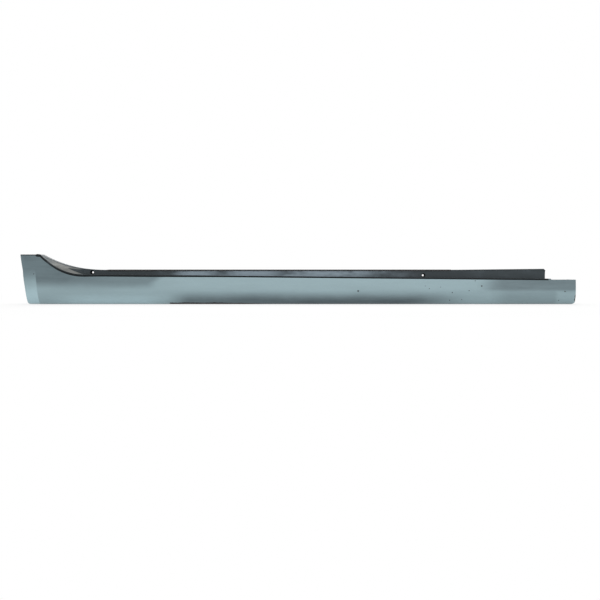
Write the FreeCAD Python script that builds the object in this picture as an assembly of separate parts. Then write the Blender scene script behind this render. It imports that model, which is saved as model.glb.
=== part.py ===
"""Outer door sill trim of a saloon car: one long moulding, painted on its visible face, that covers the body
sill between the wheel arches. It carries its edge seal, push-in clips, spring nuts and foam blocks.

Frame: +X runs to the car's rear, +Y into the car, +Z up, with the origin in the middle of the underside.
In this file stations are counted from the front end, so place() moves each finished solid back by half the
overall length, which counts the rear nuts' outer leaf. Sections are drawn as (y, z) pairs, and y = 0 is the
plane that lies against the body.
"""
import FreeCAD
import Part
import math
import os

from FreeCAD import Vector

# Overall sizes, in millimetres.
LENGTH = 1950.0
FRONT_HEIGHT = 175.0
WALL = 2.8

# The face is two tangent arcs that meet, upright, where the panel is widest.
WIDEST_Y = -48.0
WIDEST_Z = 44.0
FACE_RADIUS = 420.0
TUCK_RADIUS = 110.0
ROLL_RADIUS = 12.0
RIM_RADIUS = 6.0
REAR_RIM_RADIUS = 3.6
UNDERSIDE_Y = 48.0

# Behind the tall front end, the rim and the lip swoop down along two power curves to the long run.
TALL_END = 70.0
RIM_LEVEL = 104.6
RIM_FALL_LENGTH = 162.0
RIM_FALL_POWER = 2.18
RIM_END_LEVEL = 90.0
LIP_LEVEL = 121.0
LIP_FALL_LENGTH = 230.0
LIP_FALL_POWER = 2.37
LIP_RISE_START = 1520.0
LIP_RISE = 3.6
LIP_END_CUT = (6.0, 5.0)
POCKET_START = 168.0
POCKET_FULL = 224.0
RUN_START = 300.0
RUN_END = 1855.0
RIM_STEP = 1865.0
REAR_LEVEL = 86.6

# The flange above the rim: a web, a nib along its top, and a lip that turns into the car.
WEB_Y = -12.0
NIB_Y = -14.5
NIB_HEIGHT = 3.0
LIP_BACK_Y = 10.0
REAR_LEDGE_Y = -16.0

# The front end turns inwards ahead of a soft crease, most at its widest line and not at all along its top.
LEAD_IN = 66.0
LEAD_IN_DEPTH = 7.0

# Recessed screw cups in the web, as station and height.
SCREWS = ((247.0, 112.0), (1423.0, 101.5))
CUP_RADIUS = 6.5
CUP_WALL = 2.4
SEAT_THICKNESS = 3.0
SCREW_HOLE_RADIUS = 3.5

# Push-in clips in open-bottomed houses under the lip.
CLIP_STATIONS = (38.0, 340.0, 540.0, 740.0, 940.0, 1140.0, 1340.0, 1540.0, 1740.0)
CLIP_DROP = 11.8
HOUSE_HALF_WIDTH = 12.0
HOUSE_WALL = 1.8
HOUSE_FRONT_Y = -11.0
HOUSE_BACK_Y = -1.4
HOUSE_BACK = 2.0
HOUSE_HEIGHT = 20.8
NECK_RADIUS = 4.0
NECK_GAP = 0.2
PLATE_WIDTH = 20.0
PLATE_HEIGHT = 14.0
PLATE_THICKNESS = 1.6
PLATE_CHAMFER = 2.5
COLLAR_RADIUS = 8.0
COLLAR_SIDES = 16
SHANK_HALF_WIDTH = 2.6
SHANK_LENGTH = 19.0
FIN_THICKNESS = 1.8
FIN_HALF_WIDTH = 4.6
FIN_PITCH = 3.4
FIN_COUNT = 4

# Slots in the underside, in pairs about a middle station.
SLOT_MIDDLE = 960.0
SLOT_SPACINGS = (320.0, 960.0, 1600.0)
SLOT_Y = 36.0
SLOT_RADIUS = 4.25
SLOT_LENGTH = 14.0

# Gussets in the corner between the face and the underside.
GUSSET_THICKNESS = 1.4
GUSSET_FIRST = 80.0
GUSSET_PITCH = 80.0
GUSSET_COUNT = 23
GUSSET_FOOT_Y = 0.0
GUSSET_HOLLOW = 0.3

# Flanges that close both ends for the wheel arch liners.
END_FLANGE_Y = 20.0
FRONT_EDGE = ((-1.25, 180.0), (14.0, 118.0), (27.5, 0.0), (64.0, 0.0))
FRONT_EDGE_RADII = (160.0, 9.0)
REAR_EDGE = ((60.0, 0.0), (0.0, 0.0), (0.0, 100.0))
REAR_EDGE_RADII = (11.0,)
TRIM_MARGIN = 30.0

# Spring nuts on the end flanges, as heights, and the nut's own sizes.
FRONT_NUT_HEIGHTS = (96.0, 40.0)
REAR_NUT_HEIGHTS = (66.0, 32.0)
NUT_Y = 8.0
FLANGE_HOLE_RADIUS = 3.6
NUT_LEAF = 1.0
NUT_HALF_WIDTH = 6.5
NUT_REACH = 9.0
NUT_SLACK = 0.6
NUT_BEND_SIDES = 5
NUT_WINDOW = 6.4
NUT_THREAD_RADIUS = 2.1
NUT_COLLAR_RADIUS = 3.5
NUT_COLLAR_HEIGHT = 2.6

# The rubber seal snaps over the nib along the level part of the run.
SEAL_WALL = 1.0
SEAL_TOP_Y = -7.0
SEAL_CORNER = 0.8

# Foam blocks stuck to the underside flange, between the slots.
FOAM_STATIONS = (320.0, 640.0, 1280.0, 1600.0)
FOAM_LENGTH = 56.0
FOAM_DEPTH = 20.0
FOAM_HEIGHT = 9.0
FOAM_Y = 22.0

# A nick between the tall end's top edge and the swoop, and the moulded tab beside it.
NICK_STATION = 65.5
NICK_SIZE = 3.6
TAB = {"station": 55.0, "length": 8.0, "y": -24.0, "depth": 12.0, "height": 1.4}


def rim_height(station):
    """Height of the rim, the top of the visible face, at a station."""
    if station <= TALL_END:
        return FRONT_HEIGHT
    left = max(0.0, 1.0 - (station - TALL_END) / RIM_FALL_LENGTH)
    swoop = (FRONT_HEIGHT - RIM_LEVEL) * left ** RIM_FALL_POWER
    run = max(0.0, station - RUN_START) / (RUN_END - RUN_START)
    return RIM_LEVEL + swoop - (RIM_LEVEL - RIM_END_LEVEL) * run


def lip_height(station):
    """Height of the lip, the top of the flange, at a station."""
    if station <= TALL_END:
        return FRONT_HEIGHT
    left = max(0.0, 1.0 - (station - TALL_END) / LIP_FALL_LENGTH)
    swoop = (FRONT_HEIGHT - LIP_LEVEL) * left ** LIP_FALL_POWER
    rise = max(0.0, station - LIP_RISE_START) / (RUN_END - LIP_RISE_START)
    cut = max(0.0, 1.0 - (RUN_END - station) / LIP_END_CUT[0])
    return LIP_LEVEL + swoop + LIP_RISE * rise - LIP_END_CUT[1] * cut


def turned_in(station):
    """How far the lead-in has turned inwards at a station: 0 at the crease, 1 at the very front."""
    return max(0.0, 1.0 - station / LEAD_IN)


def arc_at(station, centre, radius, start, end):
    """An arc in a section's plane, from one angle to another, in degrees."""
    def point(angle):
        turn = math.radians(angle)
        return Vector(station, centre[0] + radius * math.cos(turn), centre[1] + radius * math.sin(turn))
    return Part.Arc(point(start), point((start + end) / 2), point(end)).toShape()


def lines_at(station, points):
    """Straight edges through (y, z) points in a section's plane."""
    at = [Vector(station, y, z) for y, z in points]
    return [Part.LineSegment(a, b).toShape() for a, b in zip(at, at[1:])]


def between(a, b, share):
    """The point part of the way from a to b."""
    return a[0] + (b[0] - a[0]) * share, a[1] + (b[1] - a[1]) * share


def offset_corner(before, point, after, depth):
    """The corner point of an outline moved sideways by depth, to the right of its direction."""
    def normal(a, b):
        size = math.hypot(b[0] - a[0], b[1] - a[1])
        return (b[1] - a[1]) / size, (a[0] - b[0]) / size
    first, second = normal(before, point), normal(point, after)
    scale = depth / (1.0 + first[0] * second[0] + first[1] * second[1])
    return point[0] + scale * (first[0] + second[0]), point[1] + scale * (first[1] + second[1])


def face_outline(station, rim, inset, rim_radius=RIM_RADIUS, inner_y=UNDERSIDE_Y):
    """Underside, roll, tuck, face and rim as edges, moved into the wall by inset, and where the rim ends.

    Where the lead-in turns the face inwards, the face arc gets flatter and the rim stays in its place.
    """
    widest_y = WIDEST_Y + LEAD_IN_DEPTH * turned_in(station)
    tuck = (widest_y + TUCK_RADIUS, WIDEST_Z)
    reach, drop = TUCK_RADIUS - ROLL_RADIUS, WIDEST_Z - ROLL_RADIUS
    roll = (tuck[0] - math.sqrt(reach ** 2 - drop ** 2), ROLL_RADIUS)
    roll_angle = 180.0 + math.degrees(math.asin(drop / reach))
    reach, lift = FACE_RADIUS - rim_radius, rim - rim_radius - WIDEST_Z
    crest = (WIDEST_Y + FACE_RADIUS - math.sqrt(reach ** 2 - lift ** 2), rim - rim_radius)
    lean = crest[0] - rim_radius - widest_y
    reach = (lift ** 2 + lean ** 2) / (2 * lean)
    face, face_radius = (widest_y + rim_radius + reach, WIDEST_Z), reach + rim_radius
    rim_angle = 180.0 - math.degrees(math.asin(lift / reach))
    edges = lines_at(station, [(inner_y, inset), (roll[0], inset)])
    edges.append(arc_at(station, roll, ROLL_RADIUS - inset, 270.0, roll_angle))
    edges.append(arc_at(station, tuck, TUCK_RADIUS - inset, roll_angle, 180.0))
    edges.append(arc_at(station, face, face_radius - inset, 180.0, rim_angle))
    edges.append(arc_at(station, crest, rim_radius - inset, rim_angle, 90.0))
    return edges, crest[0]


def flange_outline(station, crest_y, rim, lip):
    """Web foot, web top, nib foot, nib top and the corner behind the nib, as (y, z) points.

    As far as the pocket's start the flange is one slope. From there the web sinks until it stands upright.
    """
    crest, nib_top = (crest_y, rim), (NIB_Y, lip)
    sunk = min(1.0, max(0.0, (station - POCKET_START) / (POCKET_FULL - POCKET_START)))
    foot = between(between(crest, nib_top, 0.55), (WEB_Y, rim), sunk)
    top = between(between(crest, nib_top, 0.62), (WEB_Y, lip - NIB_HEIGHT), sunk)
    nib_foot = between(between(crest, nib_top, 0.85), (NIB_Y, lip - NIB_HEIGHT), sunk)
    return foot, top, nib_foot, nib_top, between(nib_top, (WEB_Y, lip), sunk)


def closed(edges):
    """One wire from edges in any order."""
    return Part.Wire(Part.__sortEdges__(edges))


def flanged_section(station):
    """The closed outline of the wall where the panel has its flange."""
    rim, lip = rim_height(station), lip_height(station)
    outer, crest_y = face_outline(station, rim, 0.0)
    inner, _ = face_outline(station, rim, WALL)
    foot, top, nib_foot, nib_top, back = flange_outline(station, crest_y, rim, lip)
    crest, lip_end = (crest_y, rim), (LIP_BACK_Y, lip)
    upper = [crest, foot, top, nib_foot, nib_top, lip_end]
    under_foot = offset_corner(crest, foot, back, WALL)
    under_back = offset_corner(foot, back, lip_end, WALL)
    lower = [(LIP_BACK_Y, lip - WALL), under_back, under_foot, (crest_y, rim - WALL)]
    edge = [(UNDERSIDE_Y, WALL), (UNDERSIDE_Y, 0.0)]
    return closed(outer + lines_at(station, upper + lower) + inner + lines_at(station, edge))


def plain_section(station, rim, rim_radius):
    """The closed outline of the wall behind the flange's end, where only a ledge turns inwards."""
    outer, crest_y = face_outline(station, rim, 0.0, rim_radius)
    inner, _ = face_outline(station, rim, WALL, rim_radius)
    ledge = [(crest_y, rim), (REAR_LEDGE_Y, rim), (REAR_LEDGE_Y, rim - WALL), (crest_y, rim - WALL)]
    edge = [(UNDERSIDE_Y, WALL), (UNDERSIDE_Y, 0.0)]
    return closed(outer + lines_at(station, ledge) + inner + lines_at(station, edge))


def spread(start, end, count):
    """Evenly spaced stations from start to end."""
    return [start + (end - start) * i / (count - 1) for i in range(count)]


def make_skin():
    """The panel's wall over its whole length, lofted in spans."""
    spans = []
    for marks, ruled in (
        ((0.0, LEAD_IN), True),
        ((LEAD_IN, TALL_END), True),
        (spread(TALL_END, POCKET_START, 8), False),
        (spread(POCKET_START, POCKET_FULL, 6), False),
        (spread(POCKET_FULL, RUN_START, 4), False),
        ((RUN_START, LIP_RISE_START), True),
        ((LIP_RISE_START, RUN_END - LIP_END_CUT[0]), True),
        ((RUN_END - LIP_END_CUT[0], RUN_END), True),
    ):
        spans.append(Part.makeLoft([flanged_section(mark) for mark in marks], True, ruled))
    for start, end, rim, radius in (
        (RUN_END, RIM_STEP, RIM_END_LEVEL, RIM_RADIUS),
        (RIM_STEP, LENGTH, REAR_LEVEL, REAR_RIM_RADIUS),
    ):
        spans.append(Part.makeLoft([plain_section(mark, rim, radius) for mark in (start, end)], True, True))
    return spans[0].multiFuse(spans[1:])


def rounded_path(points, radii):
    """Lines and arcs through (x, z) points, each inner point rounded by its radius."""
    at = [Vector(x, 0, z) for x, z in points]
    edges, start = [], at[0]
    for before, point, after, radius in zip(at, at[1:], at[2:], radii):
        back = (before - point).normalize()
        on = (after - point).normalize()
        half = back.getAngle(on) / 2
        cut = radius / math.tan(half)
        first, last = point + back * cut, point + on * cut
        inwards = (back + on).normalize()
        middle = point + inwards * (radius / math.sin(half) - radius)
        edges.append(Part.LineSegment(start, first).toShape())
        edges.append(Part.Arc(first, middle, last).toShape())
        start = last
    edges.append(Part.LineSegment(start, at[-1]).toShape())
    return edges


def offset_path(points, depth):
    """The (x, z) points of a path moved sideways by depth, to the right of its direction."""
    ahead = [(2 * points[0][0] - points[1][0], 2 * points[0][1] - points[1][1])] + list(points)
    ahead.append((2 * points[-1][0] - points[-2][0], 2 * points[-1][1] - points[-2][1]))
    return [offset_corner(a, b, c, depth) for a, b, c in zip(ahead, ahead[1:], ahead[2:])]


def side_plate(edges, depth=200.0):
    """A prism across the panel from a closed outline seen from the side."""
    face = Part.Face(closed(edges))
    face.translate(Vector(0, -depth / 2, 0))
    return face.extrude(Vector(0, depth, 0))


def joined(first, second):
    """A closed outline from two open paths in the same plane."""
    a, b = first[0].Vertexes[0].Point, first[-1].Vertexes[-1].Point
    c, d = second[0].Vertexes[0].Point, second[-1].Vertexes[-1].Point
    return first + second + [Part.LineSegment(a, c).toShape(), Part.LineSegment(b, d).toShape()]


def filled_end(start, end, rim, rim_radius):
    """The solid that the face and the end flange's inner edge enclose."""
    sections = []
    for station in (start, end):
        edges, crest_y = face_outline(station, rim, 0.0, rim_radius, END_FLANGE_Y)
        edges += lines_at(station, [(crest_y, rim), (END_FLANGE_Y, rim), (END_FLANGE_Y, 0.0)])
        sections.append(closed(edges))
    return Part.makeLoft(sections, True, True)


def finish_ends(panel):
    """Trim the panel to its slanted front edge and rounded corners, and close both ends with flanges."""
    rear_points = [(LENGTH - x, z) for x, z in REAR_EDGE]
    for points, radii, envelope in (
        (FRONT_EDGE, FRONT_EDGE_RADII, filled_end(-1.0, LEAD_IN, FRONT_HEIGHT, RIM_RADIUS)),
        (rear_points, REAR_EDGE_RADII, filled_end(RIM_STEP, LENGTH, REAR_LEVEL, REAR_RIM_RADIUS)),
    ):
        edge = rounded_path(points, radii)
        inner = rounded_path(offset_path(points, -WALL), [radius - WALL for radius in radii])
        outer = rounded_path(offset_path(points, TRIM_MARGIN), [radius + TRIM_MARGIN for radius in radii])
        strip = side_plate(joined(edge, inner))
        panel = panel.cut(side_plate(joined(edge, outer))).fuse(strip.common(envelope))
    return panel


def cylinder_y(radius, start, end, station, height):
    """A round bar along Y."""
    return Part.makeCylinder(radius, end - start, Vector(station, start, height), Vector(0, 1, 0))


def box(x, y, z):
    """A block between pairs of x, y and z limits."""
    corner = Vector(x[0], y[0], z[0])
    return Part.makeBox(x[1] - x[0], y[1] - y[0], z[1] - z[0], corner)


def add_screw_cups(panel):
    """Sink a cup with a screw seat and hole into the web at each screw."""
    for station, height in SCREWS:
        panel = panel.fuse(cylinder_y(CUP_RADIUS + CUP_WALL, WEB_Y + 1.0, 0.0, station, height))
        panel = panel.cut(cylinder_y(CUP_RADIUS, WEB_Y - 10.0, -SEAT_THICKNESS, station, height))
        panel = panel.cut(cylinder_y(SCREW_HOLE_RADIUS, -20.0, 5.0, station, height))
    return panel


def clip_house(station):
    """A house that holds a clip's plate: open below, with a keyhole in its back."""
    lip = lip_height(station)
    bottom, half, centre = lip - HOUSE_HEIGHT, HOUSE_HALF_WIDTH, lip - CLIP_DROP
    inner = half - HOUSE_WALL
    house = box((station - half, station + half), (HOUSE_FRONT_Y, HOUSE_BACK_Y), (bottom, lip - WALL / 2))
    cavity_y = (HOUSE_FRONT_Y + HOUSE_WALL, HOUSE_BACK_Y - HOUSE_BACK)
    house = house.cut(box((station - inner, station + inner), cavity_y, (bottom - 1.0, lip - WALL)))
    slot = NECK_RADIUS + NECK_GAP
    keyhole = box((station - slot, station + slot), (cavity_y[1] - 1.0, 0.0), (bottom - 1.0, centre + slot))
    return house.cut(keyhole)


def gusset(station):
    """A thin gusset between the face and the underside, with a hollow free edge."""
    edges, _ = face_outline(station, REAR_LEVEL, WALL / 2, inner_y=GUSSET_FOOT_Y)
    foot = Vector(station, GUSSET_FOOT_Y, WALL / 2)
    top = Vector(station, WIDEST_Y + WALL / 2, WIDEST_Z)
    corner = Vector(station, top.y, foot.z)
    chord_middle = (foot + top) / 2
    hollow = chord_middle + (corner - chord_middle) * GUSSET_HOLLOW
    free_edge = Part.Arc(top, hollow, foot).toShape()
    return Part.Face(closed(edges[:3] + [free_edge])).extrude(Vector(GUSSET_THICKNESS, 0, 0))


def slot_cutter(station):
    """A slot along X through the underside."""
    half = SLOT_LENGTH / 2 - SLOT_RADIUS
    cutter = box((station - half, station + half), (SLOT_Y - SLOT_RADIUS, SLOT_Y + SLOT_RADIUS), (-1.0, 9.0))
    for end in (station - half, station + half):
        cutter = cutter.fuse(Part.makeCylinder(SLOT_RADIUS, 10.0, Vector(end, SLOT_Y, -1.0)))
    return cutter


def cut_slots(panel):
    """Cut the pairs of slots in the underside."""
    cutters = []
    for spacing in SLOT_SPACINGS:
        cutters += [slot_cutter(SLOT_MIDDLE - spacing / 2), slot_cutter(SLOT_MIDDLE + spacing / 2)]
    return panel.cut(Part.makeCompound(cutters))


def cut_nick(panel):
    """Nick the top edge where the tall end meets the swoop, and add the low tab in front of it."""
    half = NICK_SIZE / 2
    points = [(NICK_STATION - half, FRONT_HEIGHT + 1.0), (NICK_STATION, FRONT_HEIGHT - NICK_SIZE)]
    points += [(NICK_STATION + half, FRONT_HEIGHT + 1.0), points[0]]
    at = [Vector(x, -60.0, z) for x, z in points]
    nick = Part.Face(Part.makePolygon(at)).extrude(Vector(0, 90.0, 0))
    ahead = (TAB["station"], TAB["station"] + TAB["length"])
    tab = box(ahead, (TAB["y"], TAB["y"] + TAB["depth"]), (FRONT_HEIGHT - 1.0, FRONT_HEIGHT + TAB["height"]))
    return panel.cut(nick).fuse(tab)


def front_edge_at(height):
    """The station of the slanted front edge at a height on its longer straight."""
    (x0, z0), (x1, z1) = FRONT_EDGE[1:3]
    return x0 + (x1 - x0) * (z0 - height) / (z0 - z1)


def nut_seats():
    """Where each spring nut's screw passes an end flange: point, turn about Y and name."""
    (x0, z0), (x1, z1) = FRONT_EDGE[1:3]
    lean = math.degrees(math.atan2(x1 - x0, z0 - z1))
    seats = []
    for number, height in enumerate(FRONT_NUT_HEIGHTS, 1):
        seats.append((Vector(front_edge_at(height), NUT_Y, height), -lean, f"front_spring_nut_{number}"))
    for number, height in enumerate(REAR_NUT_HEIGHTS, 1):
        seats.append((Vector(LENGTH, NUT_Y, height), 180.0, f"rear_spring_nut_{number}"))
    return seats


def seated(shape, point, turn):
    """Turn a shape about Y and move it to a point."""
    shape = shape.copy()
    shape.Placement = FreeCAD.Placement(point, FreeCAD.Rotation(Vector(0, 1, 0), turn))
    return shape


def cut_end_holes(panel):
    """Drill the end flanges square to themselves for the nuts' screws."""
    drill = Part.makeCylinder(FLANGE_HOLE_RADIUS, 20.0, Vector(-10.0, 0, 0), Vector(1, 0, 0))
    return panel.cut(Part.makeCompound([seated(drill, point, turn) for point, turn, _ in nut_seats()]))


def make_panel():
    """The whole moulding."""
    panel = add_screw_cups(finish_ends(make_skin()))
    fixtures = [clip_house(station) for station in CLIP_STATIONS]
    fixtures += [gusset(GUSSET_FIRST + GUSSET_PITCH * i) for i in range(GUSSET_COUNT)]
    panel = panel.multiFuse(fixtures)
    return cut_nick(cut_end_holes(cut_slots(panel))).removeSplitter()


def make_seal():
    """The snap-on rubber seal: a C that holds the nib from above, in front and below."""
    lip, front, foot = LIP_LEVEL, NIB_Y - SEAL_WALL, LIP_LEVEL - NIB_HEIGHT
    outline = [(SEAL_TOP_Y, lip + SEAL_WALL), (front, lip + SEAL_WALL), (front, foot - SEAL_WALL)]
    outline += [(WEB_Y, foot - SEAL_WALL), (WEB_Y, foot), (NIB_Y, foot), (NIB_Y, lip), (SEAL_TOP_Y, lip)]
    section = Part.Face(closed(lines_at(RUN_START, outline + outline[:1])))
    seal = section.extrude(Vector(LIP_RISE_START - RUN_START, 0, 0))

    def on_front_corner(edge):
        points = [vertex.Point for vertex in edge.Vertexes]
        outside = all(abs(point.y - front) < 0.01 for point in points)
        return outside and abs(points[0].z - points[-1].z) < 0.01 and edge.Length > 100.0
    return seal.makeFillet(SEAL_CORNER, [edge for edge in seal.Edges if on_front_corner(edge)])


def prism_y(sides, radius, start, end):
    """A many-sided bar along Y, its flats square to X and Z."""
    half = math.pi / sides
    turns = [2 * math.pi * i / sides + half for i in range(sides + 1)]
    reach = radius / math.cos(half)
    points = [Vector(reach * math.cos(turn), start, reach * math.sin(turn)) for turn in turns]
    return Part.Face(Part.makePolygon(points)).extrude(Vector(0, end - start, 0))


def serrated_fin():
    """A flat fin along the clip's axis, its two edges cut into barbs that point back at the collar."""
    side = [(SHANK_HALF_WIDTH, HOUSE_BACK_Y)]
    for i in range(FIN_COUNT):
        y = 3.0 + FIN_PITCH * i
        side += [(SHANK_HALF_WIDTH, y), (FIN_HALF_WIDTH, y)]
    side += [(SHANK_HALF_WIDTH, 3.0 + FIN_PITCH * FIN_COUNT), (1.0, SHANK_LENGTH)]
    outline = side + [(-x, y) for x, y in reversed(side)] + side[:1]
    at = [Vector(x, y, -FIN_THICKNESS / 2) for x, y in outline]
    return Part.Face(Part.makePolygon(at)).extrude(Vector(0, 0, FIN_THICKNESS))


def make_clip():
    """A push-in clip about its own axis: plate, neck, collar, and two crossed fins with barbs."""
    plate_y = HOUSE_BACK_Y - HOUSE_BACK
    width, height = PLATE_WIDTH / 2, PLATE_HEIGHT / 2
    plate = box((-width, width), (plate_y - PLATE_THICKNESS, plate_y), (-height, height))
    corners = [edge for edge in plate.Edges if abs(edge.Length - PLATE_THICKNESS) < 0.01]
    plate = plate.makeChamfer(PLATE_CHAMFER, corners)
    fin = serrated_fin()
    crossed = fin.rotated(Vector(0, 0, 0), Vector(0, 1, 0), 90.0)
    neck = prism_y(8, NECK_RADIUS, plate_y, HOUSE_BACK_Y)
    collar = prism_y(COLLAR_SIDES, COLLAR_RADIUS, HOUSE_BACK_Y, 0.0)
    return plate.multiFuse([neck, collar, fin, crossed]).removeSplitter()


def make_spring_nut():
    """A sheet steel U over a flange's edge: a window in its outer leaf, a threaded hex on its inner."""
    reach, middle = END_FLANGE_Y - NUT_Y + NUT_SLACK, WALL / 2

    def folds(radius):
        turns = [math.pi * i / NUT_BEND_SIDES for i in range(NUT_BEND_SIDES + 1)]
        return [(middle - radius * math.cos(turn), reach + radius * math.sin(turn)) for turn in turns]
    outside = [(-NUT_LEAF, -NUT_REACH)] + folds(middle + NUT_LEAF) + [(WALL + NUT_LEAF, -NUT_REACH)]
    inside = [(WALL, -NUT_REACH)] + folds(middle)[::-1] + [(0.0, -NUT_REACH)]
    outline = [Vector(x, y, -NUT_HALF_WIDTH) for x, y in outside + inside + outside[:1]]
    nut = Part.Face(Part.makePolygon(outline)).extrude(Vector(0, 0, 2 * NUT_HALF_WIDTH))
    collar = prism_y(6, NUT_COLLAR_RADIUS, 0.0, NUT_COLLAR_HEIGHT)
    collar.rotate(Vector(0, 0, 0), Vector(0, 0, 1), -90.0)
    collar.translate(Vector(WALL + NUT_LEAF, 0, 0))
    window = NUT_WINDOW / 2
    nut = nut.fuse(collar).cut(box((-5.0, middle), (-window, window), (-window, window)))
    return nut.cut(Part.makeCylinder(NUT_THREAD_RADIUS, 20.0, Vector(middle, 0, 0), Vector(1, 0, 0)))


def make_foam(station):
    """A foam block on the underside flange, with its upright edges cut back."""
    x, y = FOAM_LENGTH / 2, FOAM_DEPTH / 2
    block = box((station - x, station + x), (FOAM_Y - y, FOAM_Y + y), (WALL, WALL + FOAM_HEIGHT))
    upright = [edge for edge in block.Edges if abs(edge.Length - FOAM_HEIGHT) < 0.01]
    return block.makeChamfer(3.0, upright)


def place(shape):
    """Move a finished solid from stations to the frame."""
    return shape.translated(Vector(-(LENGTH + NUT_LEAF) / 2, 0, 0))


def make_parts():
    """Every separate piece of the trim, by name."""
    parts = {"sill_panel": make_panel(), "edge_seal": make_seal()}
    clip, nut = make_clip(), make_spring_nut()
    for number, station in enumerate(CLIP_STATIONS, 1):
        height = lip_height(station) - CLIP_DROP
        parts[f"retaining_clip_{number}"] = clip.translated(Vector(station, 0, height))
    for point, turn, name in nut_seats():
        parts[name] = seated(nut, point, turn)
    for number, station in enumerate(FOAM_STATIONS, 1):
        parts[f"foam_block_{number}"] = make_foam(station)
    return parts


if __name__ == "__main__":
    os.makedirs("parts", exist_ok=True)
    for name, solid in make_parts().items():
        place(solid).exportStep(f"parts/{name}.step")
        print(name, solid.isValid(), len(solid.Solids), round(solid.Volume / 1000.0, 2), "cm3")
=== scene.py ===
"""Dresses the door sill trim: its painted panel, edge seal, push-in clips, spring nuts and foam blocks.

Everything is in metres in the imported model's frame: +X to the car's rear, +Y into the car, +Z up. A station
is a distance from the panel's front end. Sections of the panel are lists of (y, z) pairs.
"""

import math
import random

import bmesh
import bpy
from bpy.props import FloatProperty, FloatVectorProperty, IntProperty, PointerProperty
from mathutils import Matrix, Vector


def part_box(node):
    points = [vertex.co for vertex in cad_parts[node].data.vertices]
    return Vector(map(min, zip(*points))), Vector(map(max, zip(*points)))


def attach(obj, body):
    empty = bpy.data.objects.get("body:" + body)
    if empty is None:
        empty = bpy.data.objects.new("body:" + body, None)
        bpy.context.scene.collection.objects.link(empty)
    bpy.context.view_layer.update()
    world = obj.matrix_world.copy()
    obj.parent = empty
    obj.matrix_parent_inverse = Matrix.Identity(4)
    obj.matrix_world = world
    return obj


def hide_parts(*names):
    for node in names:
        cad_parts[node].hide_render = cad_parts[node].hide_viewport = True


bl_info = {
    "name": "Door sill trim",
    "version": (1, 0, 0),
    "blender": (4, 5, 0),
    "location": "3D View > Sidebar > Sill trim",
    "description": "Builds the painted sill trim, its fixings and the studio around it",
    "category": "Object",
}

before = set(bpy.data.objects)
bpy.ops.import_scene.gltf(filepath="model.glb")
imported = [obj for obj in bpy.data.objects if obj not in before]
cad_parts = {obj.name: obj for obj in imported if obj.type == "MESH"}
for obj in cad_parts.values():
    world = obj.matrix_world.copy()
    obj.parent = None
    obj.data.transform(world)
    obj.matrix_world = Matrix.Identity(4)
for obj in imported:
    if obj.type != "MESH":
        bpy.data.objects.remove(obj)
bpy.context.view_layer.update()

MM = 0.001
FRONT = -1951.0 / 2 * MM
X, Y, Z = Vector((1, 0, 0)), Vector((0, 1, 0)), Vector((0, 0, 1))
CLIPS = sorted(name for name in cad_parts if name.startswith("retaining_clip"))
NUTS = sorted(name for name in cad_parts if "spring_nut" in name)
FOAMS = sorted(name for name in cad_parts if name.startswith("foam_block"))


def length(name, description, millimetres):
    """A property that holds a length."""
    return FloatProperty(name=name, description=description, default=millimetres * MM, unit="LENGTH",
                         precision=5)


def colour(name, description, value):
    """A property that holds a linear colour."""
    return FloatVectorProperty(name=name, description=description, default=value, size=3, subtype="COLOR",
                               min=0.0, max=1.0)


def power(name, description, watts):
    """A property that holds a lamp's power."""
    return FloatProperty(name=name, description=description, default=watts, unit="POWER")


class SillPanelShape(bpy.types.PropertyGroup):
    """Sizes of the moulded panel."""
    length: length("Length", "From the front end to the rear end", 1950.0)
    front_height: length("Front height", "Height of the tall front end", 175.0)
    wall: length("Wall", "Thickness of the moulding", 2.8)
    half_depth: length("Half depth", "From the middle to the widest line of the face", 48.0)
    widest_height: length("Widest height", "Height at which the face stands upright", 44.0)
    face_radius: length("Face radius", "Radius of the face above its widest line", 420.0)
    tuck_radius: length("Tuck radius", "Radius of the face below its widest line", 110.0)
    roll_radius: length("Roll radius", "Radius between the face and the underside", 12.0)
    rim_radius: length("Rim radius", "Radius along the top of the face", 6.0)
    rear_rim_radius: length("Rear rim radius", "The same, behind the flange", 3.6)
    tall_end: length("Tall end", "Where the swoop starts", 70.0)
    rim_level: length("Rim level", "Height of the rim at the foot of the swoop", 104.6)
    rim_fall: length("Rim fall", "Length over which the rim swoops down", 162.0)
    rim_end_level: length("Rim end level", "Height of the rim at the flange's rear end", 90.0)
    rear_level: length("Rear level", "Height of the panel behind the flange", 86.6)
    lip_level: length("Lip level", "Height of the flange's lip along the run", 121.0)
    lip_fall: length("Lip fall", "Length over which the lip swoops down", 230.0)
    lip_end_cut: length("Lip end cut", "How far the lip drops over the last 6 mm of the flange", 5.0)
    lip_rise: length("Lip rise", "How far the lip climbs towards the rear", 3.6)
    pocket_start: length("Pocket start", "Where the flange starts to sink from a slope into a web", 168.0)
    pocket_full: length("Pocket full", "Where the web stands upright", 224.0)
    run_start: length("Run start", "Where the swoop ends", 300.0)
    rise_start: length("Rise start", "Where the lip starts to climb", 1520.0)
    run_end: length("Run end", "Where the flange ends", 1855.0)
    rim_step: length("Rim step", "Where the rim steps down to the rear level", 1865.0)
    web_y: length("Web", "Depth of the web's outer side", -12.0)
    nib_y: length("Nib", "Depth of the nib's front", -14.5)
    nib_height: length("Nib height", "Height of the nib along the top of the web", 3.0)
    lip_back_y: length("Lip back", "Depth of the lip's inner edge", 10.0)
    rear_ledge_y: length("Rear ledge", "Depth of the ledge behind the flange", -16.0)
    end_flange_y: length("End flange", "Depth of the flanges that close both ends", 20.0)
    lead_in: length("Lead-in", "Width of the band along the front edge that turns in", 43.0)
    lead_in_depth: length("Lead-in depth", "How far that band turns in at the front edge", 5.5)


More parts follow.
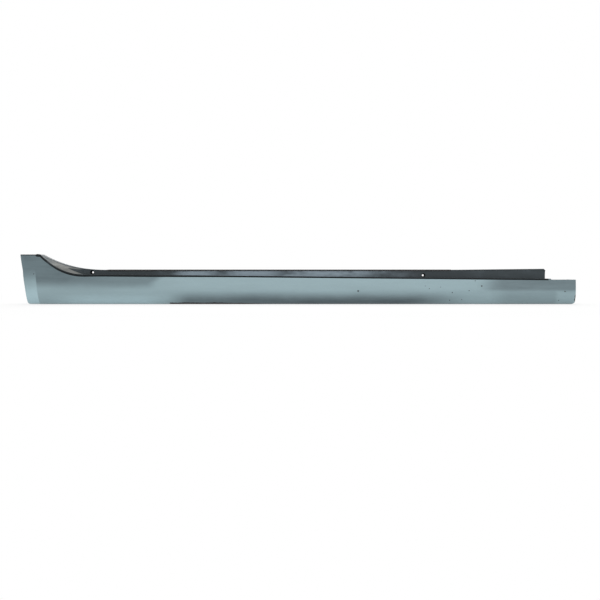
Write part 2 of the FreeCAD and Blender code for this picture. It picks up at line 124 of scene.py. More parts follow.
class SillFittings(bpy.types.PropertyGroup):
    """Sizes and spacings of what repeats along the panel."""
    gusset_count: IntProperty(name="Gussets", description="Gussets behind the face", default=23, min=1)
    gusset_first: length("First gusset", "Station of the first gusset's middle", 80.7)
    gusset_pitch: length("Gusset pitch", "Distance between gussets", 80.0)
    gusset_thickness: length("Gusset thickness", "Thickness of a gusset", 1.4)
    seal_wall: length("Seal wall", "Thickness of the edge seal", 1.0)
    nut_leaf: length("Nut leaf", "Thickness of a spring nut's sheet", 1.0)


class SillFinish(bpy.types.PropertyGroup):
    """Colours and wear of the trim."""
    paint: colour("Paint", "Metallic grey-green of the face", (0.225, 0.318, 0.346))
    # Painted shade: the paint darkened where its reflections would be darker.
    paint_shade: colour("Paint shade", "The same paint where a dark film lies on it", (0.052, 0.084, 0.098))
    plastic: colour("Plastic", "Bare moulded plastic", (0.024, 0.037, 0.044))
    dust: colour("Dust", "Dry road dust", (0.26, 0.28, 0.29))
    primer: colour("Chipped paint", "What shows where the paint has chipped", (0.020, 0.020, 0.021))
    nylon: colour("Nylon", "Natural nylon of the clips", (0.62, 0.59, 0.50))
    zinc: colour("Zinc", "Plated spring steel", (0.55, 0.53, 0.47))
    foam: colour("Foam", "Dark foam", (0.032, 0.032, 0.035))
    rubber: colour("Rubber", "Edge seal", (0.010, 0.010, 0.011))


class SillStage(bpy.types.PropertyGroup):
    """Camera and light of the studio."""
    distance: length("Distance", "From the camera to the face", 2200.0)
    elevation: FloatProperty(name="Elevation", description="The camera's height above the horizon",
                             default=math.radians(2.5), unit="ROTATION", subtype="ANGLE")
    frame_width: length("Frame width", "Width of the picture at the face", 2104.0)
    centre_station: length("Centre station", "Station in the middle of the picture", 985.1)
    centre_height: length("Centre height", "Height in the middle of the picture", 15.1)
    key_power: power("Key power", "Power of the large overhead light", 30.0)
    front_power: power("Front power", "Power of the wide front softbox", 6.5)
    side_power: power("Side power", "Power of the softbox to the left", 6.0)
    back_power: power("Back power", "Power of the light behind", 30.0)
    sky: FloatProperty(name="Sky", description="Strength of the even light all round", default=0.78)


# Outlines of the panel


def arc(centre, radius, start, end, steps):
    """Points on an arc between two angles in degrees, both ends included."""
    turns = [math.radians(start + (end - start) * i / steps) for i in range(steps + 1)]
    return [(centre[0] + radius * math.cos(turn), centre[1] + radius * math.sin(turn)) for turn in turns]


def between(a, b, share):
    """The point part of the way from a to b."""
    return a[0] + (b[0] - a[0]) * share, a[1] + (b[1] - a[1]) * share


def smooth(value):
    """Eases a value from 0 to 1."""
    value = min(1.0, max(0.0, value))
    return value * value * (3.0 - 2.0 * value)


def offset_corner(before, point, after, depth):
    """The corner point of an outline moved to the right of its direction by depth."""
    def normal(a, b):
        size = math.hypot(b[0] - a[0], b[1] - a[1])
        return (b[1] - a[1]) / size, (a[0] - b[0]) / size
    first, second = normal(before, point), normal(point, after)
    scale = depth / (1.0 + first[0] * second[0] + first[1] * second[1])
    return point[0] + scale * (first[0] + second[0]), point[1] + scale * (first[1] + second[1])


def curve(start, pull, end, shares):
    """Points on a curve from start to end that a third point pulls out."""
    points = [start * (1 - t) ** 2 + pull * 2 * t * (1 - t) + end * t * t for t in shares]
    return [(point.x, point.y) for point in points]


# A rounding takes at least this length of a side, and at most this share of it.
SHORTEST_CUT, LARGEST_SHARE = 0.15 * MM, 0.45


def rounded(before, point, after, radius, count):
    """Points that round a corner of an outline, always count of them."""
    a, p, b = Vector(before), Vector(point), Vector(after)
    back, on = (a - p).normalized(), (b - p).normalized()
    half = max(1e-4, back.angle(on) / 2)
    cut = max(radius / math.tan(half), SHORTEST_CUT)
    cut = min(cut, LARGEST_SHARE * (a - p).length, LARGEST_SHARE * (b - p).length)
    return curve(p + back * cut, p, p + on * cut, [i / (count - 1) for i in range(count)])


# Powers of the curves along which the rim and the lip swoop down, and the length of the lip's cut end.
RIM_POWER, LIP_POWER = 2.18, 2.37
LIP_END = 6.0 * MM

# How far the dark rim reaches down onto the face: everywhere, and more in the swoop, the run and the corner.
BORDER_LEAST, BORDER_SWOOP, BORDER_RUN, BORDER_CORNER = 0.3 * MM, 0.7 * MM, 2.0 * MM, 4.0 * MM


def rear_step(s, x):
    """0 ahead of the step down behind the flange, 1 behind it."""
    return smooth((x - s.rim_step + 1.5 * MM) / (3.0 * MM))


def rim_height(s, x):
    """Height of the rim at a station."""
    if x <= s.tall_end:
        return s.front_height
    swoop = (s.front_height - s.rim_level) * max(0.0, 1.0 - (x - s.tall_end) / s.rim_fall) ** RIM_POWER
    run = max(0.0, (min(x, s.run_end) - s.run_start) / (s.run_end - s.run_start))
    level = s.rim_level + swoop - (s.rim_level - s.rim_end_level) * run
    return level + (s.rear_level - s.rim_end_level) * rear_step(s, x)


def lip_height(s, x):
    """Height of the lip at a station."""
    if x <= s.tall_end:
        return s.front_height
    swoop = (s.front_height - s.lip_level) * max(0.0, 1.0 - (x - s.tall_end) / s.lip_fall) ** LIP_POWER
    rise = s.lip_rise * max(0.0, x - s.rise_start) / (s.run_end - s.rise_start)
    return s.lip_level + swoop + rise - s.lip_end_cut * max(0.0, 1.0 - (s.run_end - x) / LIP_END)


def rim_border(s, x):
    """How far the dark rim reaches down onto the face at a station."""
    begun = smooth((x - s.tall_end) / (40 * MM))
    swoop, run = smooth((s.run_start - 10 * MM - x) / (80 * MM)), smooth((800 * MM - x) / (400 * MM))
    corner = smooth((x - 50 * MM) / (10 * MM)) * smooth((104 * MM - x) / (30 * MM))
    return BORDER_LEAST + begun * (BORDER_SWOOP * swoop + BORDER_RUN * run) + BORDER_CORNER * corner


def face_line(s, x, inset):
    """Underside, roll, tuck, face and rim at a station, moved into the wall by inset."""
    rim = rim_height(s, x)
    rim_radius = s.rim_radius + (s.rear_rim_radius - s.rim_radius) * rear_step(s, x)
    widest = -s.half_depth
    reach, drop = s.tuck_radius - s.roll_radius, s.widest_height - s.roll_radius
    roll = (widest + s.tuck_radius - math.sqrt(reach ** 2 - drop ** 2), s.roll_radius)
    roll_angle = 180.0 + math.degrees(math.asin(drop / reach))
    reach, lift = s.face_radius - rim_radius, rim - rim_radius - s.widest_height
    crest = (widest + s.face_radius - math.sqrt(reach ** 2 - lift ** 2), rim - rim_radius)
    rim_angle = 180.0 - math.degrees(math.asin(lift / reach))
    tuck, face = (widest + s.tuck_radius, s.widest_height), (widest + s.face_radius, s.widest_height)
    points = [(30.0 * MM, inset), (0.0, inset)]
    points += arc(roll, s.roll_radius - inset, 270.0, roll_angle, 9)
    points += arc(tuck, s.tuck_radius - inset, roll_angle, 180.0, 6)[1:]
    border = rim_angle + math.degrees(rim_border(s, x) / s.face_radius)
    points += arc(face, s.face_radius - inset, 180.0, border, 14)[1:]
    points += arc(crest, rim_radius - inset, rim_angle, 90.0, 9)
    return points


# Ahead of the pocket the flange is one slope: where the web's foot, its top and the nib's foot lie on it.
SLOPE_SHARES = (0.55, 0.62, 0.85)


def flange_corners(s, x, crest, lip):
    """Web foot, web top, nib foot, nib top and the corner behind the nib at a station."""
    nib_top = (s.nib_y, lip)
    sunk = min(1.0, max(0.0, (x - s.pocket_start) / (s.pocket_full - s.pocket_start)))
    slope = [between(crest, nib_top, share) for share in SLOPE_SHARES]
    upright = [(s.web_y, crest[1]), (s.web_y, lip - s.nib_height), (s.nib_y, lip - s.nib_height)]
    foot, top, nib_foot = [between(a, b, sunk) for a, b in zip(slope, upright)]
    return foot, top, nib_foot, nib_top, between(nib_top, (s.web_y, lip), sunk)


# Where the ledge between the rim and the web is split, outside and inside, for the part that runs on to
# the rear.
LEDGE_SPLIT, UNDER_SPLIT = 0.857, 0.780

# Radii of free edges and of the web's foot, outside and inside.
EDGE_ROUND, FOOT_ROUND, UNDER_FOOT_ROUND = 0.5 * MM, 1.6 * MM, 1.2 * MM


def with_free_edge(s, outer, inner):
    """Both lines with the underside's free edge put before them."""
    edge = s.half_depth
    outer[:0] = [(edge, EDGE_ROUND), (edge - EDGE_ROUND, 0.0)]
    inner[:0] = [(edge, s.wall - EDGE_ROUND), (edge - EDGE_ROUND, s.wall)]
    return outer, inner


def flanged_lines(s, x):
    """The outer and the inner line of the wall at a station, point for point, underside to lip."""
    outer, inner = face_line(s, x, 0.0), face_line(s, x, s.wall)
    crest, under_crest = outer[-1], inner[-1]
    lip = lip_height(s, x)
    foot, top, nib_foot, nib_top, back = flange_corners(s, x, crest, lip)
    end, middle = (s.lip_back_y, lip), (0.5 * (s.nib_y + s.lip_back_y), lip)
    under_foot = offset_corner(crest, foot, back, s.wall)
    under_back = offset_corner(foot, back, end, s.wall)
    outer.append(between(crest, foot, LEDGE_SPLIT))
    inner.append(between(under_crest, under_foot, UNDER_SPLIT))
    outer += rounded(crest, foot, top, FOOT_ROUND, 4)
    inner += rounded(under_crest, under_foot, under_back, UNDER_FOOT_ROUND, 4)
    outer += rounded(foot, top, nib_foot, EDGE_ROUND, 2) + rounded(top, nib_foot, nib_top, EDGE_ROUND, 2)
    inner += [between(under_foot, under_back, share) for share in (0.70, 0.76, 0.82, 0.88)]
    outer += rounded(nib_foot, nib_top, end, EDGE_ROUND, 3)
    inner += rounded(under_foot, under_back, end, EDGE_ROUND, 3)
    low = lip - s.wall
    outer += [middle, (end[0] - EDGE_ROUND, lip), (end[0], lip - EDGE_ROUND)]
    inner += [(middle[0], low), (end[0] - EDGE_ROUND, low), (end[0], low + EDGE_ROUND)]
    return with_free_edge(s, outer, inner)


def rear_lines(s, x):
    """The same lines behind the flange, which end where its ledge was split."""
    outer, inner = face_line(s, x, 0.0), face_line(s, x, s.wall)
    rim = outer[-1][1]
    outer.append((s.rear_ledge_y, rim))
    inner.append((s.rear_ledge_y, rim - s.wall))
    return with_free_edge(s, outer, inner)


# The front edge's stations and heights at its top, knee and foot, in millimetres.
EDGE_TOP, EDGE_KNEE, EDGE_FOOT = (-1.25, 180.0), (14.0, 118.0), (27.5, 0.0)
EDGE_SLOPE = (EDGE_FOOT[0] - EDGE_KNEE[0]) / EDGE_KNEE[1]

# The ends' rounded lower corners: radii, and the front one's upper end and middle station.
FRONT_CORNER, REAR_CORNER = 9.0 * MM, 11.0 * MM
FRONT_CORNER_TOP, FRONT_CORNER_MIDDLE = 7.98 * MM, 35.53 * MM


def front_edge(z):
    """Station of the slanted front edge at a height, with its rounded lower corner."""
    (top, high), (knee, bend) = EDGE_TOP, EDGE_KNEE
    if z >= bend * MM:
        return top * MM + (high * MM - z) * (knee - top) / (high - bend)
    if z >= FRONT_CORNER_TOP:
        return knee * MM + (bend * MM - z) * EDGE_SLOPE
    return FRONT_CORNER_MIDDLE - math.sqrt(max(0.0, FRONT_CORNER ** 2 - (FRONT_CORNER - z) ** 2))


def rear_edge(s, z):
    """Station of the rear edge at a height, with its rounded lower corner."""
    if z >= REAR_CORNER:
        return s.length
    return s.length - REAR_CORNER + math.sqrt(max(0.0, REAR_CORNER ** 2 - (REAR_CORNER - z) ** 2))


def turned_in(s, z):
    """How far the front edge turns in at a height: not at all along its top."""
    return s.lead_in_depth * smooth((108.0 * MM - z) / (70.0 * MM))


def placed(s, x, point):
    """A section's point in the frame: sheared to the end's edges, and turned in along the front edge."""
    y, z = point
    along = x
    if x < s.tall_end:
        along = x + (1.0 - x / s.tall_end) * front_edge(z)
        if y < -20.0 * MM:
            y += turned_in(s, z) * max(0.0, 1.0 - (along - front_edge(z)) / s.lead_in)
    if x > s.rim_step:
        share = (x - s.rim_step) / (s.length - s.rim_step)
        along = x - share * (s.length - rear_edge(s, z))
    return Vector((FRONT + along, y, z))


def spread(start, end, count):
    """Even values from start towards end, which is left out."""
    return [start + (end - start) * i / count for i in range(count)]


def station_rows(s):
    """Stations of the sections: close in the swoop, wide in the run, and closest at the flange's end."""
    rows = spread(0.0, s.tall_end, 22) + spread(s.tall_end, s.run_start, 64)
    rows += spread(s.run_start, s.run_end, 77) + [s.run_end - LIP_END, s.run_end, s.run_end + 5 * MM]
    rows += [s.rim_step + i * 0.5 * MM for i in range(-3, 4)]
    rows += spread(s.rim_step, s.length, 8)[1:] + [s.length]
    return sorted(rows)


# Zones of the panel's skin, in the order of their material slots.
ZONES = ("paint", "rim", "slope", "web", "lip", "back")


# How many of the face's last strips are dark: along the tall end, from its corner on, and behind the flange.
END_DARK_STRIPS, DARK_STRIPS, REAR_DARK_STRIPS = 8, 10, 2
TOP_CORNER = 54 * MM


def skin_zone(index, face_count, x, s):
    """The zone of the strip that starts at a point of the outer line."""
    if index < face_count:
        dark = DARK_STRIPS if x > TOP_CORNER else END_DARK_STRIPS
        if x > s.run_end:
            dark = REAR_DARK_STRIPS if x < s.rim_step - 2 * MM else 0
        return "rim" if index >= face_count - dark else "paint"
    past = index - face_count
    if 2 <= past < 6 and x > s.pocket_start:
        return "web"
    return "slope" if past < 8 else "lip"


def close_end(mesh, row, start):
    """Closes the wall at a row, from a point of its lines to their ends."""
    outer, inner = row
    for i in range(start, len(outer) - 1):
        face = mesh.faces.new((outer[i], outer[i + 1], inner[i + 1], inner[i]))
        face.material_index = ZONES.index("lip" if start else "back")


def build_skin(s):
    """The panel's wall as one closed mesh with a zone on each face."""
    mesh = bmesh.new()
    rows = []
    stations = station_rows(s)
    face_count = len(face_line(s, s.run_start, 0.0)) + 1
    for x in stations:
        outer, inner = flanged_lines(s, x) if x < s.run_end + MM else rear_lines(s, x)
        rows.append([[mesh.verts.new(placed(s, x, p)) for p in line] for line in (outer, inner)])
    for index, (row, following) in enumerate(zip(rows, rows[1:])):
        x = (stations[index] + stations[index + 1]) / 2
        count = min(len(row[0]), len(following[0]))
        for side in (0, 1):
            a, b = row[side], following[side]
            for i in range(count - 1):
                face = mesh.faces.new((a[i], a[i + 1], b[i + 1], b[i]))
                zone = skin_zone(i, face_count, x, s) if side == 0 else "back"
                face.material_index = ZONES.index(zone)
        for i in (0, count - 1):
            face = mesh.faces.new((row[0][i], following[0][i], following[1][i], row[1][i]))
            face.material_index = ZONES.index("lip" if i else "back")
        if len(row[0]) > count:
            close_end(mesh, row, count - 1)
    for row in (rows[0], rows[-1]):
        close_end(mesh, row, 0)
    face_outwards(mesh)
    return mesh


# Meshes and objects


def as_object(name, mesh):
    """A linked object from a bmesh or a mesh."""
    if isinstance(mesh, bmesh.types.BMesh):
        data = bpy.data.meshes.new(name)
        mesh.to_mesh(data)
        mesh.free()
        mesh = data
    thing = bpy.data.objects.new(name, mesh)
    bpy.context.scene.collection.objects.link(thing)
    return thing


def settle(thing):
    """Turns an object with modifiers into a plain mesh."""
    bpy.context.view_layer.update()
    graph = bpy.context.evaluated_depsgraph_get()
    mesh = bpy.data.meshes.new_from_object(thing.evaluated_get(graph), depsgraph=graph)
    thing.modifiers.clear()
    old, thing.data = thing.data, mesh
    mesh.name = thing.name
    bpy.data.meshes.remove(old)
    return thing


def forget(*things):
    """Removes helper objects."""
    for thing in things:
        bpy.data.objects.remove(thing, do_unlink=True)


def shade(thing, angle=34.0):
    """Smooth shading with edges sharper than the angle kept."""
    thing.data.shade_smooth()
    thing.data.set_sharp_from_angle(angle=math.radians(angle))
    return thing


def paint_with(thing, *materials):
    """Gives an object its material slots, in order."""
    for material in materials:
        thing.data.materials.append(material)
    return thing


def face_outwards(mesh):
    """Turns every face of a closed bmesh outwards."""
    bmesh.ops.recalc_face_normals(mesh, faces=mesh.faces)
    if mesh.calc_volume(signed=True) < 0.0:
        bmesh.ops.reverse_faces(mesh, faces=mesh.faces)


def bridge(mesh, a, b):
    """Faces between two rings of points, either of which may be a single point."""
    count = max(len(a), len(b))
    for i in range(count):
        j = (i + 1) % count
        corners = dict.fromkeys((a[i % len(a)], a[j % len(a)], b[j % len(b)], b[i % len(b)]))
        if len(corners) > 2:
            mesh.faces.new(list(corners))


def prism(outline, start, end, place):
    """A closed prism from an outline of pairs; place turns (a, b, height) into a point."""
    mesh = bmesh.new()
    rings = [[mesh.verts.new(place(a, b, h)) for a, b in outline] for h in (start, end)]
    bridge(mesh, *rings)
    for ring in rings:
        mesh.faces.new(ring)
    face_outwards(mesh)
    return mesh


def lathe(profile, sides, place):
    """A closed ring or solid from a profile of (radius, height) pairs in millimetres."""
    mesh = bmesh.new()
    turns = [2 * math.pi * i / sides for i in range(sides)]
    rings = []
    for radius, height in profile:
        circle = [(radius * math.cos(t), radius * math.sin(t)) for t in turns] if radius else [(0.0, 0.0)]
        rings.append([mesh.verts.new(place(a * MM, b * MM, height * MM)) for a, b in circle])
    following = rings[1:] + (rings[:1] if profile[0][0] else [])
    for a, b in zip(rings, following):
        bridge(mesh, a, b)
    face_outwards(mesh)
    return mesh


def joined(meshes):
    """One bmesh from several, each keeping its faces' slots."""
    whole = bmesh.new()
    for mesh in meshes:
        data = bpy.data.meshes.new("part")
        mesh.to_mesh(data)
        mesh.free()
        whole.from_mesh(data)
        bpy.data.meshes.remove(data)
    return whole


def cut_with(thing, cutters, slot=0):
    """Cuts closed bmeshes out of an object and gives the cut faces a slot."""
    cutter = as_object("cutter", in_slot(joined(cutters), slot))
    modifier = thing.modifiers.new("Cut", "BOOLEAN")
    modifier.operation = "DIFFERENCE"
    modifier.solver = "EXACT"
    modifier.object = cutter
    settle(thing)
    forget(cutter)
    return thing


def add_meshes(thing, meshes):
    """Adds bmeshes to an object's mesh."""
    own = bmesh.new()
    own.from_mesh(thing.data)
    thing.data.clear_geometry()
    joined([own, *meshes]).to_mesh(thing.data)


def across(x, z, y):
    """Places outlines drawn in X and Z, with their height along Y."""
    return Vector((x, y, z))


def lengthwise(y, z, x):
    """Places outlines drawn in Y and Z, with their height along X."""
    return Vector((x, y, z))


def upwards(x, y, z):
    """Places outlines drawn in X and Y, with their height along Z."""
    return Vector((x, y, z))


def in_mm(pairs):
    """Pairs in metres from pairs in millimetres."""
    return [(a * MM, b * MM) for a, b in pairs]


def stretched(point, size):
    """A point scaled along each axis."""
    return Vector([a * b for a, b in zip(point, size)])


def at_seat(origin, axis_x, axis_y, axis_z):
    """Places points given along three axes from an origin."""
    return lambda a, b, c: origin + axis_x * a + axis_y * b + axis_z * c


def soft_block(x, y, z, bevel=0.25):
    """A block between limits in millimetres, with its edges eased."""
    mesh = bmesh.new()
    low, high = Vector((x[0], y[0], z[0])), Vector((x[1], y[1], z[1]))
    bmesh.ops.create_cube(mesh, size=1.0)
    for vertex in mesh.verts:
        vertex.co = stretched(vertex.co, high - low) + (low + high) / 2
    bmesh.ops.bevel(mesh, geom=list(mesh.edges), offset=bevel, segments=2, affect="EDGES", profile=0.7)
    bmesh.ops.scale(mesh, verts=mesh.verts, vec=(MM, MM, MM))
    return mesh


def in_slot(mesh, slot):
    """Gives every face of a bmesh one material slot."""
    for face in mesh.faces:
        face.material_index = slot
    return mesh


# Node trees


class Tree:
    """Adds nodes and links to a node tree with short calls."""

    def __init__(self, tree):
        self.tree = tree

    def node(self, kind, **settings):
        """A node with its settings."""
        made = self.tree.nodes.new(kind)
        for name, value in settings.items():
            setattr(made, name, value)
        return made

    def link(self, source, target):
        """A link, or a plain value where the source is no socket."""
        if isinstance(source, bpy.types.NodeSocket):
            self.tree.links.new(source, target)
        else:
            target.default_value = source

    def fed(self, kind, values, **settings):
        """The outputs of a node whose inputs are linked or set by name."""
        made = self.node(kind, **settings)
        for label, value in values.items():
            self.link(value, made.inputs[label])
        return made.outputs


def once(name, build):
    """A node group by name, built the first time it is asked for."""
    return bpy.data.node_groups.get(name) or build(name)


def new_tree(name, **inputs):
    """A modifier tree with named inputs beside its geometry, its builder, inputs and result."""
    tree = bpy.data.node_groups.new(name, "GeometryNodeTree")
    tree.is_modifier = True
    for label, kind in {"Geometry": "Geometry", **inputs}.items():
        tree.interface.new_socket(name=label, in_out="INPUT", socket_type="NodeSocket" + kind)
    tree.interface.new_socket(name="Geometry", in_out="OUTPUT", socket_type="NodeSocketGeometry")
    return Tree(tree), tree.nodes.new("NodeGroupInput").outputs, tree.nodes.new("NodeGroupOutput").inputs[0]


def join_and_finish(t, given, instances, result):
    """Realizes instances, gives them their material and joins them to the incoming geometry."""
    real = t.fed("GeometryNodeRealizeInstances", {"Geometry": instances})["Geometry"]
    dressed = t.fed("GeometryNodeSetMaterial", {"Geometry": real, "Material": given["Material"]})["Geometry"]
    join = t.node("GeometryNodeJoinGeometry")
    t.link(dressed, join.inputs["Geometry"])
    t.link(given["Geometry"], join.inputs["Geometry"])
    t.link(join.outputs["Geometry"], result)
    return t.tree


def gusset_row_tree(name):
    """Repeats one gusset along the panel at an even pitch."""
    t, given, result = new_tree(name, Gusset="Object", Count="Int", First="Float", Pitch="Float",
                                Material="Material")
    gusset = t.fed("GeometryNodeObjectInfo", {"Object": given["Gusset"]})["Geometry"]
    start = t.fed("ShaderNodeCombineXYZ", {"X": given["First"]})["Vector"]
    step = t.fed("ShaderNodeCombineXYZ", {"X": given["Pitch"]})["Vector"]
    line = t.fed("GeometryNodeMeshLine", {"Count": given["Count"], "Start Location": start, "Offset": step})
    row = t.fed("GeometryNodeInstanceOnPoints", {"Points": line["Mesh"], "Instance": gusset})["Instances"]
    return join_and_finish(t, given, row, result)


def seated_fitting_tree(name):
    """Puts one fitting on every seat, turned by the seat's own turn."""
    t, given, result = new_tree(name, Seats="Object", Fitting="Object", Material="Material")
    seats = t.fed("GeometryNodeObjectInfo", {"Object": given["Seats"]})["Geometry"]
    fitting = t.fed("GeometryNodeObjectInfo", {"Object": given["Fitting"]})["Geometry"]
    turn = t.fed("GeometryNodeInputNamedAttribute", {"Name": "turn"}, data_type="FLOAT_VECTOR")["Attribute"]
    row = t.fed("GeometryNodeInstanceOnPoints", {"Points": seats, "Instance": fitting, "Rotation": turn})
    return join_and_finish(t, given, row["Instances"], result)


def seal_sweep_tree(name):
    """Sweeps the seal's section along its path and closes the ends."""
    t, given, result = new_tree(name, Section="Object", Material="Material")
    path = t.fed("GeometryNodeMeshToCurve", {"Mesh": given["Geometry"]})["Curve"]
    upright = t.fed("GeometryNodeSetCurveNormal", {"Curve": path}, mode="Z_UP")["Curve"]
    section = t.fed("GeometryNodeObjectInfo", {"Object": given["Section"]})["Geometry"]
    outline = t.fed("GeometryNodeMeshToCurve", {"Mesh": section})["Curve"]
    sweep = t.fed("GeometryNodeCurveToMesh", {"Curve": upright, "Profile Curve": outline, "Fill Caps": True})
    real = t.fed("GeometryNodeRealizeInstances", {"Geometry": sweep["Mesh"]})["Geometry"]
    dressed = t.fed("GeometryNodeSetMaterial", {"Geometry": real, "Material": given["Material"]})["Geometry"]
    t.link(dressed, result)
    return t.tree


def grow(thing, build, **values):
    """Adds a tree to an object with its inputs set, settles it, and removes the objects it was given."""
    tree = once(build.__name__.removesuffix("_tree"), build)
    modifier = thing.modifiers.new(tree.name, "NODES")
    modifier.node_group = tree
    sockets = {item.name: item.identifier for item in tree.interface.items_tree if item.in_out == "INPUT"}
    for label, value in values.items():
        modifier[sockets[label]] = value
    settle(thing)
    forget(*(value for value in values.values() if isinstance(value, bpy.types.Object)))
    return thing


def seats_object(points, turns=None):
    """Loose points with a turn on each, for fittings."""
    data = bpy.data.meshes.new("seats")
    data.from_pydata([tuple(point) for point in points], [], [])
    attribute = data.attributes.new("turn", "FLOAT_VECTOR", "POINT")
    for i, turn in enumerate(turns or [(0.0, 0.0, 0.0)] * len(points)):
        attribute.data[i].vector = turn
    return as_object("seats", data)


# Shader building


class Shader(Tree):
    """Builds one material or shader group."""

    def math(self, operation, a, b=0.0, clamp=False):
        """A Math node's result."""
        made = self.node("ShaderNodeMath", operation=operation, use_clamp=clamp)
        self.link(a, made.inputs[0])
        self.link(b, made.inputs[1])
        return made.outputs[0]

    def plus(self, a, b):
        """A sum."""
        return self.math("ADD", a, b)

    def minus(self, a, b, clamp=False):
        """A difference."""
        return self.math("SUBTRACT", a, b, clamp)

    def times(self, a, b, clamp=False):
        """A product."""
        return self.math("MULTIPLY", a, b, clamp)

    def most(self, a, b):
        """The larger of two values."""
        return self.math("MAXIMUM", a, b)

    def range(self, value, low, high, to_low=0.0, to_high=1.0):
        """A smooth step between two values."""
        made = self.node("ShaderNodeMapRange", interpolation_type="SMOOTHSTEP")
        for name, number in (("From Min", low), ("From Max", high), ("To Min", to_low), ("To Max", to_high)):
            self.link(number, made.inputs[name])
        self.link(value, made.inputs["Value"])
        return made.outputs["Result"]

    def blend(self, share, a, b):
        """The colour between two colours."""
        made = self.node("ShaderNodeMix", data_type="RGBA")
        colours = [socket for socket in made.inputs if socket.type == "RGBA"]
        self.link(share, made.inputs[0])
        self.link(a, colours[0])
        self.link(b, colours[1])
        return next(socket for socket in made.outputs if socket.type == "RGBA")

    def amount(self, share, a, b):
        """The number between two numbers."""
        made = self.node("ShaderNodeMix", data_type="FLOAT")
        self.link(share, made.inputs[0])
        self.link(a, made.inputs[2])
        self.link(b, made.inputs[3])
        return made.outputs[0]

    def noise(self, place, scale, detail=2.0, roughness=0.5, stretch=None):
        """A noise pattern, stretched where asked."""
        if stretch:
            place = self.fed("ShaderNodeMapping", {"Scale": stretch, "Vector": place})["Vector"]
        values = {"Vector": place, "Scale": scale, "Detail": detail, "Roughness": roughness}
        return self.fed("ShaderNodeTexNoise", values)["Fac"]

    def place(self):
        """Object coordinates."""
        return self.node("ShaderNodeTexCoord").outputs["Object"]

    def parts_of(self, vector):
        """The X, Y and Z of a vector."""
        return self.fed("ShaderNodeSeparateXYZ", {"Vector": vector})

    def bump(self, height, distance, strength=1.0, normal=None):
        """A bumped normal."""
        values = {"Height": height, "Distance": distance, "Strength": strength}
        if normal:
            values["Normal"] = normal
        return self.fed("ShaderNodeBump", values)["Normal"]


def new_group(name, inputs, outputs):
    """A shader group of numbers with named sockets, its builder, inputs and outputs."""
    tree = bpy.data.node_groups.new(name, "ShaderNodeTree")
    for label, default in inputs.items():
        socket = tree.interface.new_socket(name=label, in_out="INPUT", socket_type="NodeSocketFloat")
        socket.default_value = default
    for label in outputs:
        tree.interface.new_socket(name=label, in_out="OUTPUT", socket_type="NodeSocketFloat")
    return Shader(tree), tree.nodes.new("NodeGroupInput").outputs, tree.nodes.new("NodeGroupOutput").inputs


def moulded_grain_group(name):
    """Fine leathery texture of a bare moulding, as a height and a colour shift."""
    s, given, made = new_group(name, {"Grain size": 900.0, "Flow": 0.35}, ("Height", "Tone"))
    place = s.place()
    flow = s.noise(place, 7.0, 3.0, 0.55, stretch=(0.35, 1.0, 1.0))
    s.link(s.noise(place, given["Grain size"], 3.0, 0.6), made["Height"])
    s.link(s.plus(s.times(s.minus(flow, 0.5), given["Flow"]), 1.0), made["Tone"])
    return s.tree


def settled_dust_group(name):
    """Dry dust as a mask: a cloud of specks, broken by streaks where it was wiped."""
    s, given, made = new_group(name, {"Amount": 0.5, "Patch size": 9.0}, ("Mask",))
    place = s.place()
    patches = s.noise(place, given["Patch size"], 4.0, 0.6, stretch=(0.5, 1.0, 1.0))
    streaks = s.noise(place, 30.0, 3.0, 0.6, stretch=(0.25, 1.0, 1.6))
    specks = s.noise(place, 1400.0, 2.0, 0.7)
    cloud = s.plus(s.times(patches, 0.7), s.times(streaks, 0.3))
    soft = s.range(s.minus(s.plus(cloud, given["Amount"]), 0.5), 0.12, 0.85)
    grainy = s.plus(soft, s.times(s.minus(specks, 0.5), 0.5))
    s.link(s.times(grainy, soft, clamp=True), made["Mask"])
    return s.tree


def rub_marks_group(name):
    """Fine lengthwise rub marks as a mask."""
    s, given, made = new_group(name, {"Amount": 0.5}, ("Mask",))
    place = s.place()
    lines = s.noise(place, 420.0, 3.0, 0.65, stretch=(0.03, 1.0, 1.0))
    where = s.noise(place, 11.0, 2.0, 0.5, stretch=(0.5, 1.0, 1.0))
    mask = s.times(s.range(lines, 0.62, 0.72), s.range(where, 0.48, 0.66))
    s.link(s.times(mask, given["Amount"], clamp=True), made["Mask"])
    return s.tree


def use_group(s, build, **values):
    """The outputs of a group's node, with its inputs set by label; the group is built when first used."""
    name = build.__name__.removesuffix("_group")
    made = s.node("ShaderNodeGroup", node_tree=once(name, build))
    for label, value in values.items():
        s.link(value, made.inputs[label.replace("_", " ").capitalize()])
    return made.outputs


def new_material(name):
    """An empty material with a Principled BSDF, and its builder."""
    material = bpy.data.materials.new(name)
    material.use_nodes = True
    return material, Shader(material.node_tree), material.node_tree.nodes["Principled BSDF"].inputs


def rgb(value, tone=1.0):
    """A socket colour from a property."""
    return (value[0] * tone, value[1] * tone, value[2] * tone, 1.0)


def station_band(s, x, rise, full, fade, gone):
    """1 between two stations in millimetres, fading to 0 outside them."""
    return s.times(s.range(x, FRONT + rise * MM, FRONT + full * MM),
                   s.range(x, FRONT + gone * MM, FRONT + fade * MM))


def patch_mask(s, x, z, rise, full, fade, gone, start, dense):
    """A soft patch between stations that grows with height from one level to another."""
    return s.times(station_band(s, x, rise, full, fade, gone), s.range(z, start * MM, dense * MM))


# Paint chips as station, height and radius in millimetres.
CHIPS = (
    (1188.5, 46.6, 2.3), (1543.7, 95.0, 1.8), (1437.5, 55.4, 1.2), (1517.7, 41.4, 1.6), (1423.4, 64.2, 1.0),
    (1476.0, 60.7, 0.9), (1510.0, 14.0, 1.3), (1552.0, 16.1, 1.1), (1576.7, 47.7, 1.3), (1598.1, 82.4, 1.2),
    (1620.9, 64.2, 2.0), (1912.2, 44.9, 1.6), (1891.9, 14.0, 1.2), (52.6, 106.2, 1.3),
)


